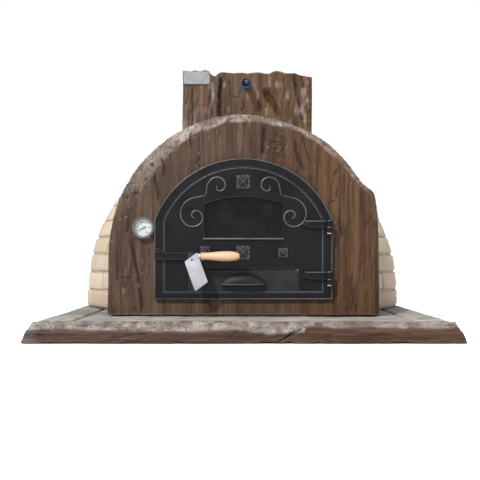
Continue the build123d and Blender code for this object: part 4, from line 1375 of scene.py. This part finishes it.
# ---------------------------------------------------------------- small parts
def make_gauge_marks():
    """Printed ring of graduations with plain numbers round the dial."""
    lo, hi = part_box("gauge_dial")
    centre = Vector(((lo.x + hi.x) / 2, lo.y - 0.0001, (lo.z + hi.z) / 2))
    radius = (hi.x - lo.x) / 2
    bars = []
    first, last = 225.0, -51.0
    verts, faces = [], []
    for k in range(51):
        a = radians(first + (last - first) * k / 50)
        major = k % 10 == 0
        inner = radius * (0.84 if major else 0.89 if k % 5 == 0 else 0.91)
        outer = radius * 0.95
        half = 0.00032 if major else 0.00016
        along = Vector((cos(a), 0, sin(a)))
        across = Vector((-sin(a), 0, cos(a))) * half
        base = len(verts)
        for depth in (0, -0.0002):
            push = Vector((0, depth, 0))
            for reach, sign in ((inner, -1), (outer, -1), (outer, 1), (inner, 1)):
                verts.append(centre + along * reach + across * sign + push)
        q = base
        faces += [(q, q + 1, q + 2, q + 3), (q + 7, q + 6, q + 5, q + 4)]
        faces += [(q + i, q + 4 + i, q + 4 + (i + 1) % 4, q + (i + 1) % 4) for i in range(4)]
    bars.append(mesh_object("ticks", verts, faces))
    for number in range(6):
        a = radians(first + (last - first) * number / 5)
        text = bpy.data.curves.new(f"number_{number}", "FONT")
        text.body = str(number * 100)
        text.size = 0.0072
        text.align_x = "CENTER"
        text.align_y = "CENTER"
        text.extrude = 0.0001
        obj = link(bpy.data.objects.new(text.name, text))
        obj = applied(obj)
        at = centre + Vector((cos(a), 0, sin(a))) * radius * 0.66
        obj.data.transform(Matrix.Translation(at) @ Matrix.Rotation(pi / 2, 4, "X"))
        bars.append(obj)
    obj = joined("gauge_marks", bars)
    finish_piece(obj, "oven", ink, smooth=False)


def make_nameplate():
    """Blank plate with rounded corners and a raised border."""
    lo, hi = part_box("nameplate")
    radius = 0.0045

    def outline(inset, y):
        points = []
        for cx, cz, start in ((hi.x, hi.z, 0), (lo.x, hi.z, 90), (lo.x, lo.z, 180), (hi.x, lo.z, 270)):
            sx = -1 if cx == hi.x else 1
            sz = -1 if cz == hi.z else 1
            for k in range(7):
                a = radians(start + 15 * k)
                r = max(radius - inset, 0.0006)
                x = cx + sx * (inset + r) + r * cos(a)
                points.append(Vector((x, y, cz + sz * (inset + r) + r * sin(a))))
        return points

    levels = [(0.0, hi.y + 0.0015), (0.0, lo.y + 0.0004), (0.0005, lo.y), (0.0017, lo.y),
              (0.0021, lo.y + 0.0004)]
    verts, faces = [], []
    for inset, y in levels:
        verts += outline(inset, y)
    n = 28
    for level in range(len(levels) - 1):
        for i in range(n):
            j = (i + 1) % n
            a, b = level * n + i, level * n + j
            faces.append((a, b, b + n, a + n))
    faces.append(tuple(range(n)))
    faces.append(tuple(reversed(range(n * (len(levels) - 1), n * len(levels)))))
    obj = mesh_object("plate_blank", verts, faces)
    welded(obj.data, 0, True)
    finish_piece(obj, "oven", satin_plate, smooth=False)
    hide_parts("nameplate")


make_coil()
make_grip()
make_tag()
make_gauge_marks()
make_nameplate()


# ---------------------------------------------------------------- stage, light and camera
def floor_paint():
    paint = Paint("studio_floor", 0.85)
    cloud = paint.noise(3.0, 4.0, 0.5)
    paint.colour(paint.mix(cloud, (0.86, 0.86, 0.85), (0.90, 0.90, 0.89)))
    return paint.material


def make_stage():
    verts = [(-30, -30, -0.0005), (30, -30, -0.0005), (30, 30, -0.0005), (-30, 30, -0.0005)]
    ground = mesh_object("studio_floor", verts, [(0, 1, 2, 3)])
    ground.data.materials.append(floor_paint())


def area_light(name, place, target, size, watts, colour=(1, 1, 1)):
    light = bpy.data.lights.new(name, "AREA")
    light.shape = "DISK"
    light.size = size
    light.energy = watts
    light.color = colour
    obj = link(bpy.data.objects.new(name, light))
    obj.location = place
    obj.rotation_euler = (Vector(target) - Vector(place)).to_track_quat("-Z", "Y").to_euler()


def make_lights():
    sun = bpy.data.lights.new("key", "SUN")
    sun.energy = 4.6
    sun.angle = radians(6)
    sun.color = (1.0, 0.985, 0.96)
    key = link(bpy.data.objects.new("key", sun))
    key.rotation_euler = Vector((0.62, 1.0, -1.0)).to_track_quat("-Z", "Y").to_euler()
    area_light("back", (0.5, 3.6, 2.6), (0, 0.2, 0.4), 2.2, 60)
    world = bpy.data.worlds.new("studio")
    world.use_nodes = True
    background = world.node_tree.nodes["Background"]
    background.inputs["Color"].default_value = (1.0, 1.0, 1.0, 1.0)
    background.inputs["Strength"].default_value = 1.0
    bpy.context.scene.world = world


def make_camera():
    lens = bpy.data.cameras.new("camera")
    lens.lens = 57.3
    lens.sensor_width = 36.0
    lens.shift_x = 0.004
    lens.shift_y = 0.0375
    lens.clip_end = 100.0
    obj = link(bpy.data.objects.new("camera", lens))
    obj.location = (-0.015, -2.705, 0.226)
    obj.rotation_euler = (pi / 2, 0, 0)
    bpy.context.scene.camera = obj
    bpy.context.scene.view_settings.view_transform = "Standard"


make_stage()
make_lights()
make_camera()
